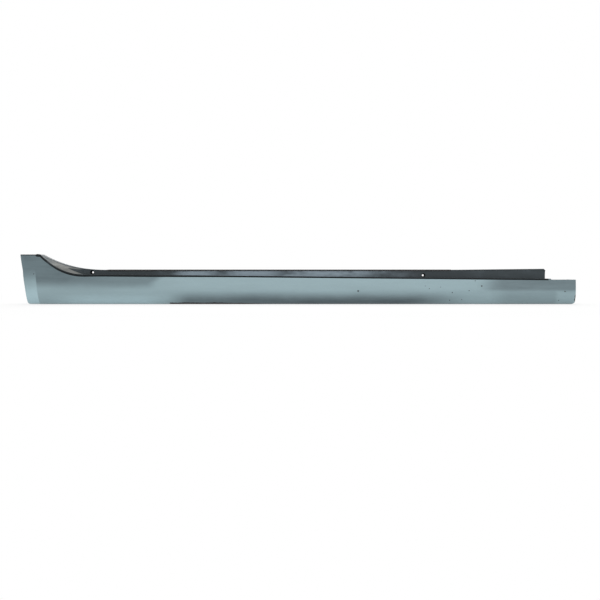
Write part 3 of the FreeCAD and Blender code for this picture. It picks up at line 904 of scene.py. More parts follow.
def chip_mask(s, place):
    """Chips through the paint, ragged at their edges."""
    ragged = s.minus(s.times(s.noise(place, 700.0, 2.0, 0.6), 2.3), 0.05)
    mask = 0.0
    for station, height, radius in CHIPS:
        middle = (FRONT + station * MM, 0.0, height * MM)
        offset = s.fed("ShaderNodeVectorMath", {0: place, 1: middle}, operation="SUBTRACT")[0]
        flat = s.fed("ShaderNodeVectorMath", {0: offset, 1: X + Z}, operation="MULTIPLY")[0]
        away = s.fed("ShaderNodeVectorMath", {0: flat}, operation="LENGTH")["Value"]
        mask = s.most(mask, s.math("LESS_THAN", away, s.times(ragged, 1.15 * radius * MM)))
    return mask


def rear_corner_mask(s, x, z, ragged):
    """The broken patch of paint on the rear edge."""
    reach = s.minus(FRONT + 1950.5 * MM, x)
    inside = s.math("LESS_THAN", reach, s.times(s.minus(ragged, 0.1), 8.0 * MM))
    return s.times(inside, s.times(s.range(z, 9.0 * MM, 12.0 * MM), s.range(z, 36.0 * MM, 31.0 * MM)))


def scuffed_edge_mask(s, x, z, place):
    """Scuffs through the paint along the lower edge, worst ahead of the middle."""
    ragged = s.noise(place, 60.0, 4.0, 0.7, stretch=(0.35, 1.0, 1.0))
    fine = s.noise(place, 500.0, 3.0, 0.6, stretch=(0.2, 1.0, 1.0))
    worst = station_band(s, x, 526.0, 530.0, 680.0, 920.0)
    reach = s.plus(s.times(worst, 6.2 * MM), 1.2 * MM)
    rough = s.times(s.plus(s.times(ragged, 1.3), fine), 0.72)
    return s.math("LESS_THAN", z, s.times(reach, rough))


# Painted shade on the paint, darkening it where its reflections would be darker: stations where it rises, is
# full, fades and is gone, heights where it starts and is full, and how dense it is, with lengths in
# millimetres.
PAINTED_SHADE_PATCHES = (
    (-60, -10, 145, 310, 46, 92, 0.80), (165, 300, 446, 486, 46, 80, 0.57),
    (510, 610, 1360, 1600, 54, 10, 0.89), (1590, 1700, 1960, 2000, 42, 56, 0.74),
    (1640, 1720, 1872, 1896, 56, 42, 0.28),
)


def front_band_mask(s, x, z):
    """The band along the slanted front edge that turns in."""
    knee, bend = EDGE_KNEE
    edge = s.times(s.minus(bend * MM, z), EDGE_SLOPE)
    return s.range(s.minus(s.minus(x, FRONT + knee * MM), edge), 45.5 * MM, 41.5 * MM)


def dark_film_mask(s, x, z, place, band):
    """Painted shade on the paint: darker low along the run, high towards both ends, and hardly any low on the
    front band.
    """
    wander = s.times(s.minus(s.noise(place, 9.0, 3.0, 0.5), 0.5), 30 * MM)
    curve = s.times(s.range(z, 72 * MM, 100 * MM), -26 * MM)
    bent, level = s.plus(s.plus(x, wander), curve), s.plus(z, s.times(wander, 0.4))
    painted_dark = 0.0
    for *limits, density in PAINTED_SHADE_PATCHES:
        painted_dark = s.plus(painted_dark, s.times(patch_mask(s, bent, level, *limits), density))
    bright = s.times(band, s.range(z, 128 * MM, 62 * MM))
    painted_dark = s.times(painted_dark, s.minus(1.0, bright))
    patchy = s.amount(s.noise(place, 16.0, 4.0, 0.65, stretch=(0.25, 1.0, 1.4)), 0.62, 1.38)
    return s.times(painted_dark, patchy, clamp=True)


def pale_mask(s, x, z, band):
    """Painted highlight: the paint made paler low on the front band and low behind it, standing in for the
    bright floor's reflection.
    """
    low = s.times(band, s.range(z, 80 * MM, 22 * MM))
    behind = patch_mask(s, x, z, 60, 260, 420, 560, 46, 12)
    return s.most(low, s.times(behind, 0.75))


def sill_paint(finish):
    """Metallic paint under clear coat, with overspray below, chips, scuffs, rub marks, dust, painted shade
    and a painted highlight.
    """
    material, s, shader = new_material("sill_paint")
    place = s.place()
    x, y, z = s.parts_of(place)
    flakes = s.fed("ShaderNodeTexVoronoi", {"Vector": place, "Scale": 2600.0})["Color"]
    flake = s.parts_of(flakes)[0]
    cloud = s.noise(place, 5.0, 3.0, 0.5, stretch=(0.4, 1.0, 1.0))
    streaks = s.noise(place, 34.0, 4.0, 0.65, stretch=(0.10, 1.0, 1.0))
    tone = s.plus(s.times(flake, 0.16), s.times(cloud, 0.14))
    tone = s.plus(tone, s.times(s.minus(streaks, 0.5), 0.42))
    base = s.blend(tone, rgb(finish.paint, 0.98), rgb(finish.paint, 1.6))
    band = front_band_mask(s, x, z)
    # Painted highlight: paler paint low on the front band and low behind it.
    base = s.blend(pale_mask(s, x, z, band), base, rgb(finish.paint, 1.55))
    # Painted shade: the paint darkened where its reflections would be darker.
    base = s.blend(dark_film_mask(s, x, z, place, band), base, rgb(finish.paint_shade))
    dust = use_group(s, settled_dust_group, Amount=0.16, Patch_size=6.0)
    base = s.blend(s.times(dust["Mask"], 0.5), base, rgb(finish.dust))
    rubs = use_group(s, rub_marks_group, Amount=0.6)
    spray = s.plus(y, s.times(s.noise(place, 90.0, 4.0, 0.7), 26 * MM))
    bare = s.range(spray, -2 * MM, 22 * MM)
    ragged = s.noise(place, 150.0, 4.0, 0.65, stretch=(1.0, 0.4, 1.0))
    worn = s.most(chip_mask(s, place), rear_corner_mask(s, x, z, ragged))
    worn = s.most(worn, scuffed_edge_mask(s, x, z, place))
    base = s.blend(worn, base, rgb(finish.primer))
    s.link(s.blend(bare, base, rgb(finish.plastic)), shader["Base Color"])
    gone = s.most(worn, bare)
    s.link(s.amount(gone, 0.55, 0.0), shader["Metallic"])
    rough = s.plus(s.times(dust["Mask"], 0.25), s.times(rubs["Mask"], 0.2))
    rough = s.plus(rough, s.amount(cloud, 0.30, 0.42))
    s.link(s.amount(gone, rough, 0.62), shader["Roughness"])
    shine = s.minus(0.85, s.times(s.plus(dust["Mask"], rubs["Mask"]), 0.6), clamp=True)
    s.link(s.amount(gone, shine, 0.0), shader["Coat Weight"])
    shader["Coat Roughness"].default_value = 0.12
    shader["Coat IOR"].default_value = 1.5
    peel = s.bump(s.noise(place, 210.0, 2.0, 0.45), 0.00012, 0.25)
    wave = s.bump(s.noise(place, 9.0, 2.0, 0.5, stretch=(0.5, 1.0, 1.0)), 0.0012, 0.35, peel)
    edge = s.bump(s.minus(1.0, gone), 0.0002, 0.8, wave)
    s.link(edge, shader["Normal"])
    return material


def bare_plastic(name, finish, tone=1.0, dust_low=0.1, dust_high=0.1, band=None, roughness=0.46, shine=0.45,
                 tint=None, mottled=0.0, palest=None):
    """Bare moulded plastic with dust that may rise over a band of stations and be palest over another."""
    material, s, shader = new_material(name)
    place = s.place()
    x = s.parts_of(place)[0]
    grain = use_group(s, moulded_grain_group, Grain_size=850.0, Flow=0.5)
    amount = dust_low
    if band:
        amount = s.amount(station_band(s, x, *band), dust_low, dust_high)
    dust = use_group(s, settled_dust_group, Amount=amount, Patch_size=11.0)
    bare = {0: rgb(finish.plastic, tone)[:3], "Scale": grain["Tone"]}
    base = s.fed("ShaderNodeVectorMath", bare, operation="SCALE")[0]
    wiped = s.range(s.noise(place, 16.0, 3.0, 0.6, stretch=(0.6, 1.0, 1.5)), 0.36, 0.64)
    if palest:
        wiped = s.most(wiped, station_band(s, x, *palest))
    tint = rgb(tint or finish.dust)
    dry = s.blend(wiped, rgb(tint, 1.0 - 0.6 * mottled), rgb(tint, 1.0 + mottled))
    s.link(s.blend(dust["Mask"], base, dry), shader["Base Color"])
    s.link(s.amount(dust["Mask"], roughness, 0.85), shader["Roughness"])
    shader["Specular IOR Level"].default_value = shine
    height = s.plus(grain["Height"], s.times(dust["Mask"], 0.4))
    s.link(s.bump(height, 0.00008, 0.5), shader["Normal"])
    return material


# Tints of the dust on the bare plastic.
BROWN, COOL = (0.10, 0.085, 0.072), (0.185, 0.230, 0.265)
GREY, SLATE = (0.195, 0.200, 0.192), (0.12, 0.16, 0.18)


def panel_materials(finish):
    """The panel's materials in the order of ZONES."""
    return (
        sill_paint(finish),
        # The rim is bare plastic, as it really is; darkening it to 0.22 of the plastic's tone is painted
        # shade along the rim.
        bare_plastic("rim_plastic", finish, 0.22, 0.0, 0.36, (70.0, 100.0, 250.0, 400.0), 0.55, 0.12, SLATE),
        bare_plastic("slope_plastic", finish, 1.4, 0.34, 0.88, (60.0, 160.0, 190.0, 236.0), tint=GREY,
                     mottled=0.35),
        bare_plastic("web_plastic", finish, 0.9, 0.30, 1.0, (440.0, 650.0, 900.0, 1560.0), shine=0.42,
                     tint=COOL, mottled=0.75, palest=(700.0, 790.0, 850.0, 960.0)),
        bare_plastic("lip_plastic", finish, 1.0, 0.34, tint=BROWN),
        # The back's plastic is the bare plastic lightened to 1.6 of its tone: painted light on the back.
        bare_plastic("back_plastic", finish, 1.6, 0.22, roughness=0.5),
    )


def seal_rubber(finish):
    """Black rubber with a faint bloom."""
    material, s, shader = new_material("seal_rubber")
    place = s.place()
    bloom = s.range(s.noise(place, 18.0, 4.0, 0.6, stretch=(0.3, 1.0, 1.0)), 0.45, 0.8)
    base = s.blend(s.times(bloom, 0.15), rgb(finish.rubber), (0.05, 0.05, 0.052, 1.0))
    s.link(base, shader["Base Color"])
    s.link(s.amount(bloom, 0.42, 0.62), shader["Roughness"])
    s.link(s.bump(s.noise(place, 1500.0, 2.0, 0.5), 0.00004, 0.4), shader["Normal"])
    return material


def clip_nylon(finish):
    """Natural nylon, slightly translucent and soiled in patches."""
    material, s, shader = new_material("clip_nylon")
    place = s.place()
    grime = use_group(s, settled_dust_group, Amount=0.24, Patch_size=60.0)
    cloud = s.noise(place, 90.0, 3.0, 0.5)
    base = s.blend(cloud, rgb(finish.nylon, 0.86), rgb(finish.nylon))
    base = s.blend(s.times(grime["Mask"], 0.6), base, (0.12, 0.11, 0.095, 1.0))
    s.link(base, shader["Base Color"])
    s.link(s.amount(grime["Mask"], 0.38, 0.7), shader["Roughness"])
    shader["Subsurface Weight"].default_value = 0.25
    shader["Subsurface Radius"].default_value = (0.002, 0.0018, 0.0012)
    s.link(s.bump(s.noise(place, 1200.0, 2.0, 0.5), 0.00004, 0.4), shader["Normal"])
    return material


def spring_steel(finish):
    """Zinc-plated spring steel with dull patches and a few rust spots."""
    material, s, shader = new_material("spring_steel")
    place = s.place()
    patches = s.noise(place, 160.0, 4.0, 0.6)
    spots = s.range(s.noise(place, 420.0, 3.0, 0.7), 0.64, 0.72)
    base = s.blend(s.range(patches, 0.35, 0.7), rgb(finish.zinc), rgb(finish.zinc, 0.62))
    s.link(s.blend(spots, base, (0.14, 0.06, 0.025, 1.0)), shader["Base Color"])
    s.link(s.amount(spots, 1.0, 0.1), shader["Metallic"])
    s.link(s.amount(patches, 0.26, 0.48), shader["Roughness"])
    rolled = s.noise(place, 900.0, 3.0, 0.6, stretch=(1.0, 0.06, 1.0))
    s.link(s.bump(rolled, 0.00004, 0.5), shader["Normal"])
    return material


def block_foam(finish):
    """Open-cell foam, with painted shade: the cells' hollows darker than their walls."""
    material, s, shader = new_material("block_foam")
    place = s.place()
    cells = s.fed("ShaderNodeTexVoronoi", {"Vector": place, "Scale": 900.0}, feature="DISTANCE_TO_EDGE")
    walls = s.range(cells["Distance"], 0.0, 0.22)
    dust = use_group(s, settled_dust_group, Amount=0.22, Patch_size=40.0)
    # Painted shade: the cells' hollows darker and their walls lighter.
    base = s.blend(walls, rgb(finish.foam, 2.4), rgb(finish.foam, 0.5))
    base = s.blend(s.times(dust["Mask"], 0.6), base, rgb(finish.dust, 0.6))
    s.link(base, shader["Base Color"])
    shader["Roughness"].default_value = 0.9
    s.link(s.bump(s.minus(1.0, walls), 0.0006, 0.9), shader["Normal"])
    return material


# The panel


# How far an end plate starts behind the face, and what is added where the face rolls under, its least
# thickness, and its eased edge.
PLATE_BEHIND, PLATE_BEHIND_ROLL, PLATE_LEAST, PLATE_EASE = 2.2 * MM, 3.0 * MM, 0.8 * MM, 0.6 * MM


def end_plate(s, rear):
    """A flange that closes an end, as a plate along the panel's edge from the rim to the underside."""
    mesh = bmesh.new()
    top, inward = (s.rear_level, -1) if rear else (s.front_height, 1)
    heights = {top * (1.0 - i / 30) for i in range(28)} | {14 * MM * (1.0 - i / 8) for i in range(1, 9)}
    rings = []
    for z in sorted(heights, reverse=True):
        edge, inside = [rear_edge(s, at) if rear else front_edge(at) for at in (z, max(z, s.wall))]
        inside = inward * max(inward * inside + s.wall, inward * edge + PLATE_LEAST)
        near = PLATE_BEHIND - s.half_depth + max(0.0, z - s.widest_height) ** 2 / (2 * s.face_radius)
        near += max(0.0, s.widest_height - z) ** 2 / (2 * s.tuck_radius)
        near += (PLATE_BEHIND_ROLL if z < s.roll_radius else 0.0) + (0.0 if rear else turned_in(s, z))
        far = s.end_flange_y
        corners = ((edge, near), (edge, far - PLATE_EASE), (edge + inward * PLATE_EASE, far), (inside, far),
                   (inside, near))
        lift = min(top - 0.2 * MM, max(z, 0.4 * MM))
        rings.append([mesh.verts.new((FRONT + along, y, lift)) for along, y in corners])
    for a, b in zip(rings, rings[1:]):
        bridge(mesh, a, b)
    mesh.faces.new(rings[0])
    mesh.faces.new(rings[-1])
    face_outwards(mesh)
    return as_object("end_plate", in_slot(mesh, ZONES.index("back")))


# Stations and heights of the screw cups, stations of the underside's slots, and the nick's outline, all in
# millimetres.
SCREWS = ((247.0, 112.0), (1423.0, 101.5))
SLOTS = (160.0, 480.0, 800.0, 1120.0, 1440.0, 1760.0)
NICK = ((63.7, 176.2), (65.5, 171.4), (67.3, 176.2))

# A screw cup's radii and depths in millimetres: its rounded mouth, wall, seat and hole, and its outside.
CUP = ((7.4, -12.02), (6.9, -11.7), (6.6, -11.2), (6.5, -10.4), (6.5, -3.0), (3.8, -3.0), (3.5, -2.7),
       (3.5, -0.3), (3.8, 0.0), (8.6, 0.0), (8.9, -0.3), (8.9, -10.6), (7.6, -11.4))
CUP_CUTTER = ((0.0, -21.0), (7.4, -21.0), (7.4, -7.0), (0.0, -7.0))

# A clip's house about the clip's axis, in millimetres: its half width, its walls' thickness, where it starts
# and ends, and its keyhole's radius.
HOUSE_HALF, HOUSE_WALL, HOUSE_BACK = 12.0, 1.8, 2.0
HOUSE_FRONT_Y, HOUSE_BACK_Y, HOUSE_FOOT, HOUSE_TOP = -11.0, -1.4, -9.0, 10.4
KEYHOLE = 4.2

# Heights of the spring nuts' screws in millimetres, their depth, and the holes behind them.
FRONT_NUTS, REAR_NUTS, NUT_Y = (96.0, 40.0), (66.0, 32.0), 8.0 * MM
FLANGE_HOLE = 3.6


def screw_cups(profile):
    """A screw cup's profile turned about every screw's axis."""
    centres = [Vector((FRONT + station * MM, 0.0, height * MM)) for station, height in SCREWS]
    return [lathe(profile, 48, at_seat(centre, X, Z, Y)) for centre in centres]


def slot_outline(station, y=36 * MM):
    """The rounded slot in the underside."""
    half, radius = 2.75 * MM, 4.25 * MM
    right = arc((FRONT + station * MM + half, y), radius, -90.0, 90.0, 12)
    return right + arc((FRONT + station * MM - half, y), radius, 90.0, 270.0, 12)


def nut_seats():
    """The nuts' screw axes on the end flanges' outer sides, with their turns about Y."""
    front = [Vector((FRONT + front_edge(height * MM), NUT_Y, height * MM)) for height in FRONT_NUTS]
    rear = [Vector((FRONT + 1.950, NUT_Y, height * MM)) for height in REAR_NUTS]
    return [(point, -math.atan(EDGE_SLOPE)) for point in front] + [(point, math.pi) for point in rear]


def drill(radius, start, end, point=Vector(), turn=0.0):
    """A round cutter in millimetres along the X axis through a point, turned about Y."""
    axis = Vector((math.cos(turn), 0.0, -math.sin(turn)))
    place = at_seat(point, Y, Vector((math.sin(turn), 0.0, math.cos(turn))), axis)
    return lathe([(0.0, start), (radius, start), (radius, end), (0.0, end)], 32, place)


def gusset_mesh(s, thickness):
    """One gusset at the frame's front end: a thin plate with a hollow free edge."""
    line = face_line(s, s.run_end, s.wall / 2)[1:]
    edge = [point for point in line if point[1] <= s.widest_height + 0.1 * MM][:16]
    foot, top = Vector((0.0, s.wall / 2)), Vector((-s.half_depth + s.wall / 2, s.widest_height))
    middle = (foot + top) / 2
    pull = middle + (Vector((top.x, foot.y)) - middle) * 0.6
    hollow = curve(top, pull, foot, [i / 14 for i in range(1, 14)])
    return prism(edge + hollow, FRONT, FRONT + thickness, lengthwise)


def house_mesh():
    """A clip's house about the clip's axis: side walls, front, and a back with its keyhole, open below."""
    half, height = HOUSE_HALF, (HOUSE_FOOT, HOUSE_TOP)
    depth, front = (HOUSE_FRONT_Y, HOUSE_BACK_Y), (HOUSE_FRONT_Y, HOUSE_FRONT_Y + HOUSE_WALL)
    walls = [soft_block((-half, HOUSE_WALL - half), depth, height)]
    walls.append(soft_block((half - HOUSE_WALL, half), depth, height))
    walls.append(soft_block((-half, half), front, height))
    back = [(-half, HOUSE_FOOT), (-half, HOUSE_TOP), (half, HOUSE_TOP), (half, HOUSE_FOOT)]
    back += [(KEYHOLE, HOUSE_FOOT)] + arc((0.0, 0.0), KEYHOLE, 0.0, 180.0, 14) + [(-KEYHOLE, HOUSE_FOOT)]
    walls.append(prism(in_mm(back), (HOUSE_BACK_Y - HOUSE_BACK) * MM, HOUSE_BACK_Y * MM, across))
    return joined(walls)


def clip_seats():
    """Every clip's axis on the plane that lies against the body."""
    boxes = [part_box(name) for name in CLIPS]
    return [Vector(((low[0] + high[0]) / 2, 0.0, (low[2] + high[2]) / 2)) for low, high in boxes]


def make_panel(s, fittings, finish):
    """The whole moulding as one mesh."""
    materials = panel_materials(finish)
    rim, back = ZONES.index("rim"), ZONES.index("back")
    panel = paint_with(as_object("sill_panel_shell", build_skin(s)), *materials)
    cutters = screw_cups(CUP_CUTTER)
    cutters += [prism(slot_outline(station), -1 * MM, 5 * MM, upwards) for station in SLOTS]
    nick = [(FRONT + x, z) for x, z in in_mm(NICK)]
    cut_with(panel, cutters + [prism(nick, -60 * MM, 30 * MM, across)], back)
    plates = []
    for rear, seats in ((False, nut_seats()[:2]), (True, nut_seats()[2:])):
        plate = paint_with(end_plate(s, rear), *materials)
        holes = [drill(FLANGE_HOLE, -10.0, 10.0, point, turn) for point, turn in seats]
        plates.append(bmesh.new())
        plates[-1].from_mesh(cut_with(plate, holes, back).data)
        forget(plate)
    tab = soft_block((55.0, 63.0), (-24.0, -12.0), (174.0, 176.4), 0.4)
    bmesh.ops.translate(tab, verts=tab.verts, vec=X * FRONT)
    # The screw cups and the corner tab take the rim's darkened plastic: painted shade in the cups' hollows.
    add_meshes(panel, plates + [in_slot(mesh, rim) for mesh in screw_cups(CUP) + [tab]])
    gusset = as_object("gusset", gusset_mesh(s, fittings.gusset_thickness))
    first = fittings.gusset_first - fittings.gusset_thickness / 2
    grow(panel, gusset_row_tree, Gusset=gusset, Count=fittings.gusset_count, First=first,
         Pitch=fittings.gusset_pitch, Material=materials[back])
    seats, house = seats_object(clip_seats()), as_object("house", house_mesh())
    grow(panel, seated_fitting_tree, Seats=seats, Fitting=house, Material=materials[back])
    return shade(panel)


# Operators


class SILL_OT_panel(bpy.types.Operator):
    """Build the painted panel with its flange, cups, gussets and clip houses"""
    bl_idname = "sill.panel"
    bl_label = "Panel"

    def execute(self, context):
        scene = context.scene
        panel = make_panel(scene.sill_shape, scene.sill_fittings, scene.sill_finish)
        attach(panel, "root")
        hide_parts("sill_panel")
        return {"FINISHED"}


def seal_section(s, wall):
    """The seal's C section about the nib's top corner, as (y, z) pairs about y = 0 and the lip's height."""
    nib, foot, top = s.nib_y, -s.nib_height, -7.0 * MM
    outer = [(top, wall * 0.55), (top - 0.6 * MM, wall)]
    outer += arc((nib - wall + 0.9 * MM, wall - 0.9 * MM), 0.9 * MM, 90.0, 180.0, 6)
    outer += arc((nib - wall + 0.7 * MM, foot - wall + 0.7 * MM), 0.7 * MM, 180.0, 270.0, 5)
    return outer + [(s.web_y, foot - wall), (s.web_y, foot), (nib, foot), (nib, 0.0), (top, 0.0)]


def line_object(name, points, closed=False):
    """A chain of edges through points, closed where asked."""
    data = bpy.data.meshes.new(name)
    count = len(points)
    data.from_pydata(points, [(i, (i + 1) % count) for i in range(count if closed else count - 1)], [])
    return as_object(name, data)


def make_seal(s, fittings, finish):
    """The edge seal, swept along the nib, with its front end tapered."""
    section = [(-y, -z, 0.0) for y, z in seal_section(s, fittings.seal_wall)]
    stations = spread(s.run_start, s.rise_start, 120) + [s.rise_start]
    seal = line_object("edge_seal_strip", [(FRONT + x, 0.0, s.lip_level) for x in stations])
    grow(seal, seal_sweep_tree, Section=line_object("seal_section", section, closed=True),
         Material=seal_rubber(finish))
    for vertex in seal.data.vertices:
        if vertex.co.x < FRONT + s.run_start + MM and vertex.co.z > s.lip_level:
            vertex.co.z = s.lip_level + 0.15 * (vertex.co.z - s.lip_level)
    return shade(seal, 50.0)


class SILL_OT_seal(bpy.types.Operator):
    """Build the rubber seal that snaps over the flange's nib"""
    bl_idname = "sill.seal"
    bl_label = "Edge seal"

    def execute(self, context):
        scene = context.scene
        seal = make_seal(scene.sill_shape, scene.sill_fittings, scene.sill_finish)
        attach(seal, "root")
        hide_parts("edge_seal")
        return {"FINISHED"}


# A clip's neck and collar as radii and depths, and half its fin's outline with barbs, in millimetres.
CLIP_NECK = ((0.0, -3.6), (4.0, -3.6), (4.0, -1.3), (0.0, -1.3))
CLIP_COLLAR = ((0.0, -1.4), (5.2, -1.4), (7.0, -1.25), (7.9, -0.7), (8.0, -0.1), (7.6, 0.0), (6.6, -0.4),
               (3.4, -0.5), (0.0, -0.5))
BARB = ((2.5, 0.0), (4.3, -0.1), (4.6, 0.25), (4.3, 0.9))
BARB_FIRST, BARB_PITCH, BARB_COUNT = 3.0, 3.4, 4


def clip_mesh():
    """A push-in clip about its own axis, which runs along Y."""
    pieces = [soft_block((-10.0, 10.0), (-5.0, -3.4), (-7.0, 7.0), 0.5)]
    pieces += [lathe(profile, 40, at_seat(Vector(), X, Z, Y)) for profile in (CLIP_NECK, CLIP_COLLAR)]
    side = [(2.6, -0.8)]
    side += [(x, BARB_FIRST + BARB_PITCH * i + y) for i in range(BARB_COUNT) for x, y in BARB]
    side += [(2.6, 16.4), (1.6, 18.3), (0.8, 19.0)]
    outline = in_mm(side + [(-x, y) for x, y in reversed(side)])
    shorter = [(x, min(y, 18.7 * MM)) for x, y in outline]
    for line, place in ((outline, upwards), (shorter, lambda z, y, x: Vector((x, y, z)))):
        fin = prism(line, -0.9 * MM, 0.9 * MM, place)
        bmesh.ops.bevel(fin, geom=list(fin.edges), offset=0.15 * MM, segments=1, affect="EDGES")
        pieces.append(fin)
    return joined(pieces)


def fittings_on(name, points, turns, fitting, material):
    """One fitting repeated on its seats, as one piece."""
    piece = as_object(name, bpy.data.meshes.new(name))
    grow(piece, seated_fitting_tree, Seats=seats_object(points, turns), Fitting=fitting, Material=material)
    return shade(piece, 40.0)


class SILL_OT_clips(bpy.types.Operator):
    """Put a push-in clip in every house"""
    bl_idname = "sill.clips"
    bl_label = "Clips"

    def execute(self, context):
        material = clip_nylon(context.scene.sill_finish)
        clips = fittings_on("push_in_clips", clip_seats(), None, as_object("clip", clip_mesh()), material)
        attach(clips, "root")
        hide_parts(*CLIPS)
        return {"FINISHED"}


# A spring nut's length past its screw, half its width, its holes and its threaded collar, in millimetres.
NUT_REACH, NUT_HALF, NUT_WINDOW, NUT_BORE = 12.6, 6.5, 3.2, 2.1
THREAD = [(NUT_BORE + 0.25 * (i % 2), 3.8 + 0.3 * i) for i in range(8)]
COLLAR = THREAD + [(2.4, 6.4), (3.2, 6.4), (3.5, 6.1), (3.5, 3.9), (3.7, 3.75)]


def spring_nut_object(fittings):
    """A spring nut about its screw's axis, which runs along X from the flange's outer side."""
    wall, leaf = 2.8, fittings.nut_leaf / MM
    bend = (wall / 2, NUT_REACH)
    outline = [(-leaf, -8.6)] + arc(bend, wall / 2 + leaf, 180.0, 0.0, 12) + [(wall + leaf, -9.0)]
    outline += [(wall, -9.0)] + arc(bend, wall / 2, 0.0, 180.0, 12) + [(0.0, -8.6)]
    nut = as_object("spring_nut", prism(in_mm(outline), -NUT_HALF * MM, NUT_HALF * MM, upwards))
    window = soft_block((-5.0, wall / 2), (-NUT_WINDOW, NUT_WINDOW), (-NUT_WINDOW, NUT_WINDOW), 0.6)
    cut_with(nut, [window, drill(NUT_BORE, wall / 2, 41.4)])
    bevel = nut.modifiers.new("Bevel", "BEVEL")
    bevel.width = 0.15 * MM
    bevel.segments = 2
    bevel.limit_method = "ANGLE"
    bevel.angle_limit = math.radians(50)
    settle(nut)
    add_meshes(nut, [lathe(COLLAR, 36, at_seat(Vector(), Y, Z, X))])
    return nut


class SILL_OT_spring_nuts(bpy.types.Operator):
    """Grip a spring nut over both end flanges at every screw"""
    bl_idname = "sill.spring_nuts"
    bl_label = "Spring nuts"

    def execute(self, context):
        points, turns = zip(*nut_seats())
        turns = [(0.0, turn, 0.0) for turn in turns]
        nut, steel = spring_nut_object(context.scene.sill_fittings), spring_steel(context.scene.sill_finish)
        nuts = fittings_on("flange_spring_nuts", points, turns, nut, steel)
        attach(nuts, "root")
        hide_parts(*NUTS)
        return {"FINISHED"}


def foam_mesh(low, high, seed):
    """A cut foam block with uneven faces and softened corners, inside its CAD box."""
    random.seed(seed)
    mesh = bmesh.new()
    size, centre = Vector(high) - Vector(low), (Vector(high) + Vector(low)) / 2
    bmesh.ops.create_cube(mesh, size=1.0)
    bmesh.ops.subdivide_edges(mesh, edges=list(mesh.edges), cuts=11, use_grid_fill=True)
    for vertex in mesh.verts:
        at = stretched(vertex.co, size)
        inwards = sum((min(0.5, abs(value)) * 2) ** 8 for value in vertex.co) - 1.0
        pull = 0.9 * MM * max(0.0, inwards) + random.uniform(0.0, 0.22) * MM
        if vertex.co.z < -0.49:
            pull = 0.0
        vertex.co = centre + at - at.normalized() * pull
    return mesh


class SILL_OT_foam(bpy.types.Operator):
    """Lay the foam blocks on the underside flange"""
    bl_idname = "sill.foam"
    bl_label = "Foam blocks"

    def execute(self, context):
        material = block_foam(context.scene.sill_finish)
        for number, node in enumerate(FOAMS):
            block = as_object(f"foam_pad_{number + 1}", foam_mesh(*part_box(node), number))
            paint_with(shade(block, 60.0), material)
            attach(block, "root")
            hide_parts(node)
        return {"FINISHED"}


WHITE = (1.0, 1.0, 1.0, 1.0)


def seen_directly(s):
    """1 for rays that see the background straight, in a reflection or through glass."""
    path = s.node("ShaderNodeLightPath").outputs
    return s.most(s.most(path["Is Camera Ray"], path["Is Glossy Ray"]), path["Is Transmission Ray"])


def mixed_with_white(s, share, shader, white, output):
    """Mixes a shader with a white one that shines by itself, and puts the mix out."""
    mix = s.fed("ShaderNodeMixShader", {0: share, 1: shader, 2: white})[0]
    s.link(mix, s.node(output).inputs["Surface"])


def studio_floor(name):
    """A white floor that keeps the object's shadow."""
    material = bpy.data.materials.new(name)
    material.use_nodes = True
    material.node_tree.nodes.clear()
    s = Shader(material.node_tree)
    place = s.place()
    pale = s.blend(s.noise(place, 3.0), (0.80, 0.80, 0.80, 1.0), (0.84, 0.84, 0.84, 1.0))
    diffuse = s.fed("ShaderNodeBsdfDiffuse", {"Color": pale})[0]
    glow = s.fed("ShaderNodeEmission", {"Color": WHITE})[0]
    x, y, z = s.parts_of(place)
    far = s.math("SQRT", s.plus(s.times(x, x), s.times(s.times(y, y), 4.0)))
    share = s.times(seen_directly(s), s.range(far, 1.0, 1.6, 0.74, 1.0))
    mixed_with_white(s, share, diffuse, glow, "ShaderNodeOutputMaterial")
    return material


def studio_world(strength):
    """Even pale light, white to the camera."""
    world = bpy.data.worlds.new("studio")
    bpy.context.scene.world = world
    world.use_nodes = True
    world.node_tree.nodes.clear()
    s = Shader(world.node_tree)
    even = s.fed("ShaderNodeBackground", {"Color": WHITE, "Strength": strength})[0]
    white = s.fed("ShaderNodeBackground", {"Color": WHITE})[0]
    mixed_with_white(s, seen_directly(s), even, white, "ShaderNodeOutputWorld")


# The lights: name, place, the point each looks at, its two sizes, and the property that holds its power.
LIGHTS = (
    ("overhead", (0.0, 0.7, 2.2), (0.0, 0.0, 0.05), (3.6, 1.4), "key_power"),
    ("front", (0.55, -2.7, 0.85), (0.55, 0.0, 0.85), (3.2, 1.6), "front_power"),
    ("left", (-3.3, -2.2, 0.7), (-0.9, 0.0, 0.05), (1.3, 1.3), "side_power"),
    ("behind", (0.0, 2.6, 1.8), (0.0, 0.0, 0.05), (2.6, 1.0), "back_power"),
)


def soft_light(name, place, target, size, power):
    """A rectangular area light that looks at a point."""
    data = bpy.data.lights.new(name, "AREA")
    data.shape = "RECTANGLE"
    data.size, data.size_y = size
    data.energy = power
    lamp = bpy.data.objects.new(name, data)
    lamp.location = place
    lamp.rotation_euler = (Vector(target) - Vector(place)).to_track_quat("-Z", "Y").to_euler()
    bpy.context.scene.collection.objects.link(lamp)


def studio_camera(stage):
    """The camera at the photograph's angle."""
    data = bpy.data.cameras.new("camera")
    data.sensor_width = 36.0
    data.lens = 36.0 * stage.distance / stage.frame_width
    data.clip_start, data.clip_end = 0.05, 60.0
    camera = bpy.data.objects.new("camera", data)
    aim = Vector((FRONT + stage.centre_station, -0.044, stage.centre_height))
    back = Vector((0.0, -math.cos(stage.elevation), math.sin(stage.elevation)))
    camera.location = aim + back * stage.distance
    camera.rotation_euler = (-back).to_track_quat("-Z", "Y").to_euler()
    bpy.context.scene.collection.objects.link(camera)
    bpy.context.scene.camera = camera


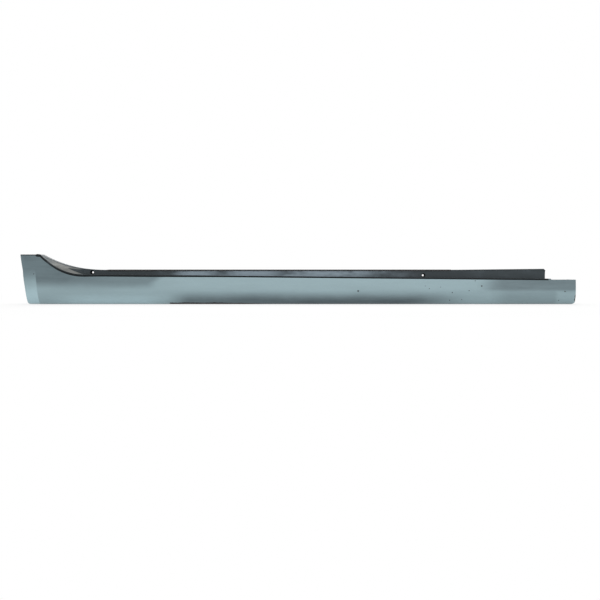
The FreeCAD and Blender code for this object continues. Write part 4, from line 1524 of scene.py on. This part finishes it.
class SILL_OT_stage(bpy.types.Operator):
    """Set up the floor, the light and the camera"""
    bl_idname = "sill.stage"
    bl_label = "Studio"

    def execute(self, context):
        stage = context.scene.sill_stage
        context.scene.view_settings.view_transform = "Standard"
        sheet = bmesh.new()
        bmesh.ops.create_grid(sheet, x_segments=1, y_segments=1, size=12.0)
        floor = as_object("studio_floor", sheet)
        paint_with(floor, studio_floor("studio_floor"))
        studio_world(stage.sky)
        for *light, watts in LIGHTS:
            soft_light(*light, getattr(stage, watts))
        studio_camera(stage)
        return {"FINISHED"}


class SILL_PT_sidebar(bpy.types.Panel):
    """The sill trim's sizes, finishes and build steps"""
    bl_label = "Door sill trim"
    bl_space_type = "VIEW_3D"
    bl_region_type = "UI"
    bl_category = "Sill trim"

    def draw(self, context):
        for group in ("sill_shape", "sill_fittings", "sill_finish", "sill_stage"):
            box = self.layout.box()
            settings = getattr(context.scene, group)
            for name in settings.bl_rna.properties.keys():
                if name not in {"rna_type", "name"}:
                    box.prop(settings, name)
        for operator in STEPS:
            self.layout.operator(operator.bl_idname)


GROUPS = {"sill_shape": SillPanelShape, "sill_fittings": SillFittings, "sill_finish": SillFinish,
          "sill_stage": SillStage}
STEPS = (SILL_OT_panel, SILL_OT_seal, SILL_OT_clips, SILL_OT_spring_nuts, SILL_OT_foam, SILL_OT_stage)


def register():
    """Register the classes and hang the settings on the scene."""
    for cls in (*GROUPS.values(), *STEPS, SILL_PT_sidebar):
        bpy.utils.register_class(cls)
    for name, cls in GROUPS.items():
        setattr(bpy.types.Scene, name, PointerProperty(type=cls))


def unregister():
    """Take the settings and classes away again."""
    for name in GROUPS:
        delattr(bpy.types.Scene, name)
    for cls in reversed((*GROUPS.values(), *STEPS, SILL_PT_sidebar)):
        bpy.utils.unregister_class(cls)


def main():
    """Build every piece in order."""
    register()
    bpy.ops.sill.panel()
    bpy.ops.sill.seal()
    bpy.ops.sill.clips()
    bpy.ops.sill.spring_nuts()
    bpy.ops.sill.foam()
    bpy.ops.sill.stage()


if __name__ == "__main__":
    main()
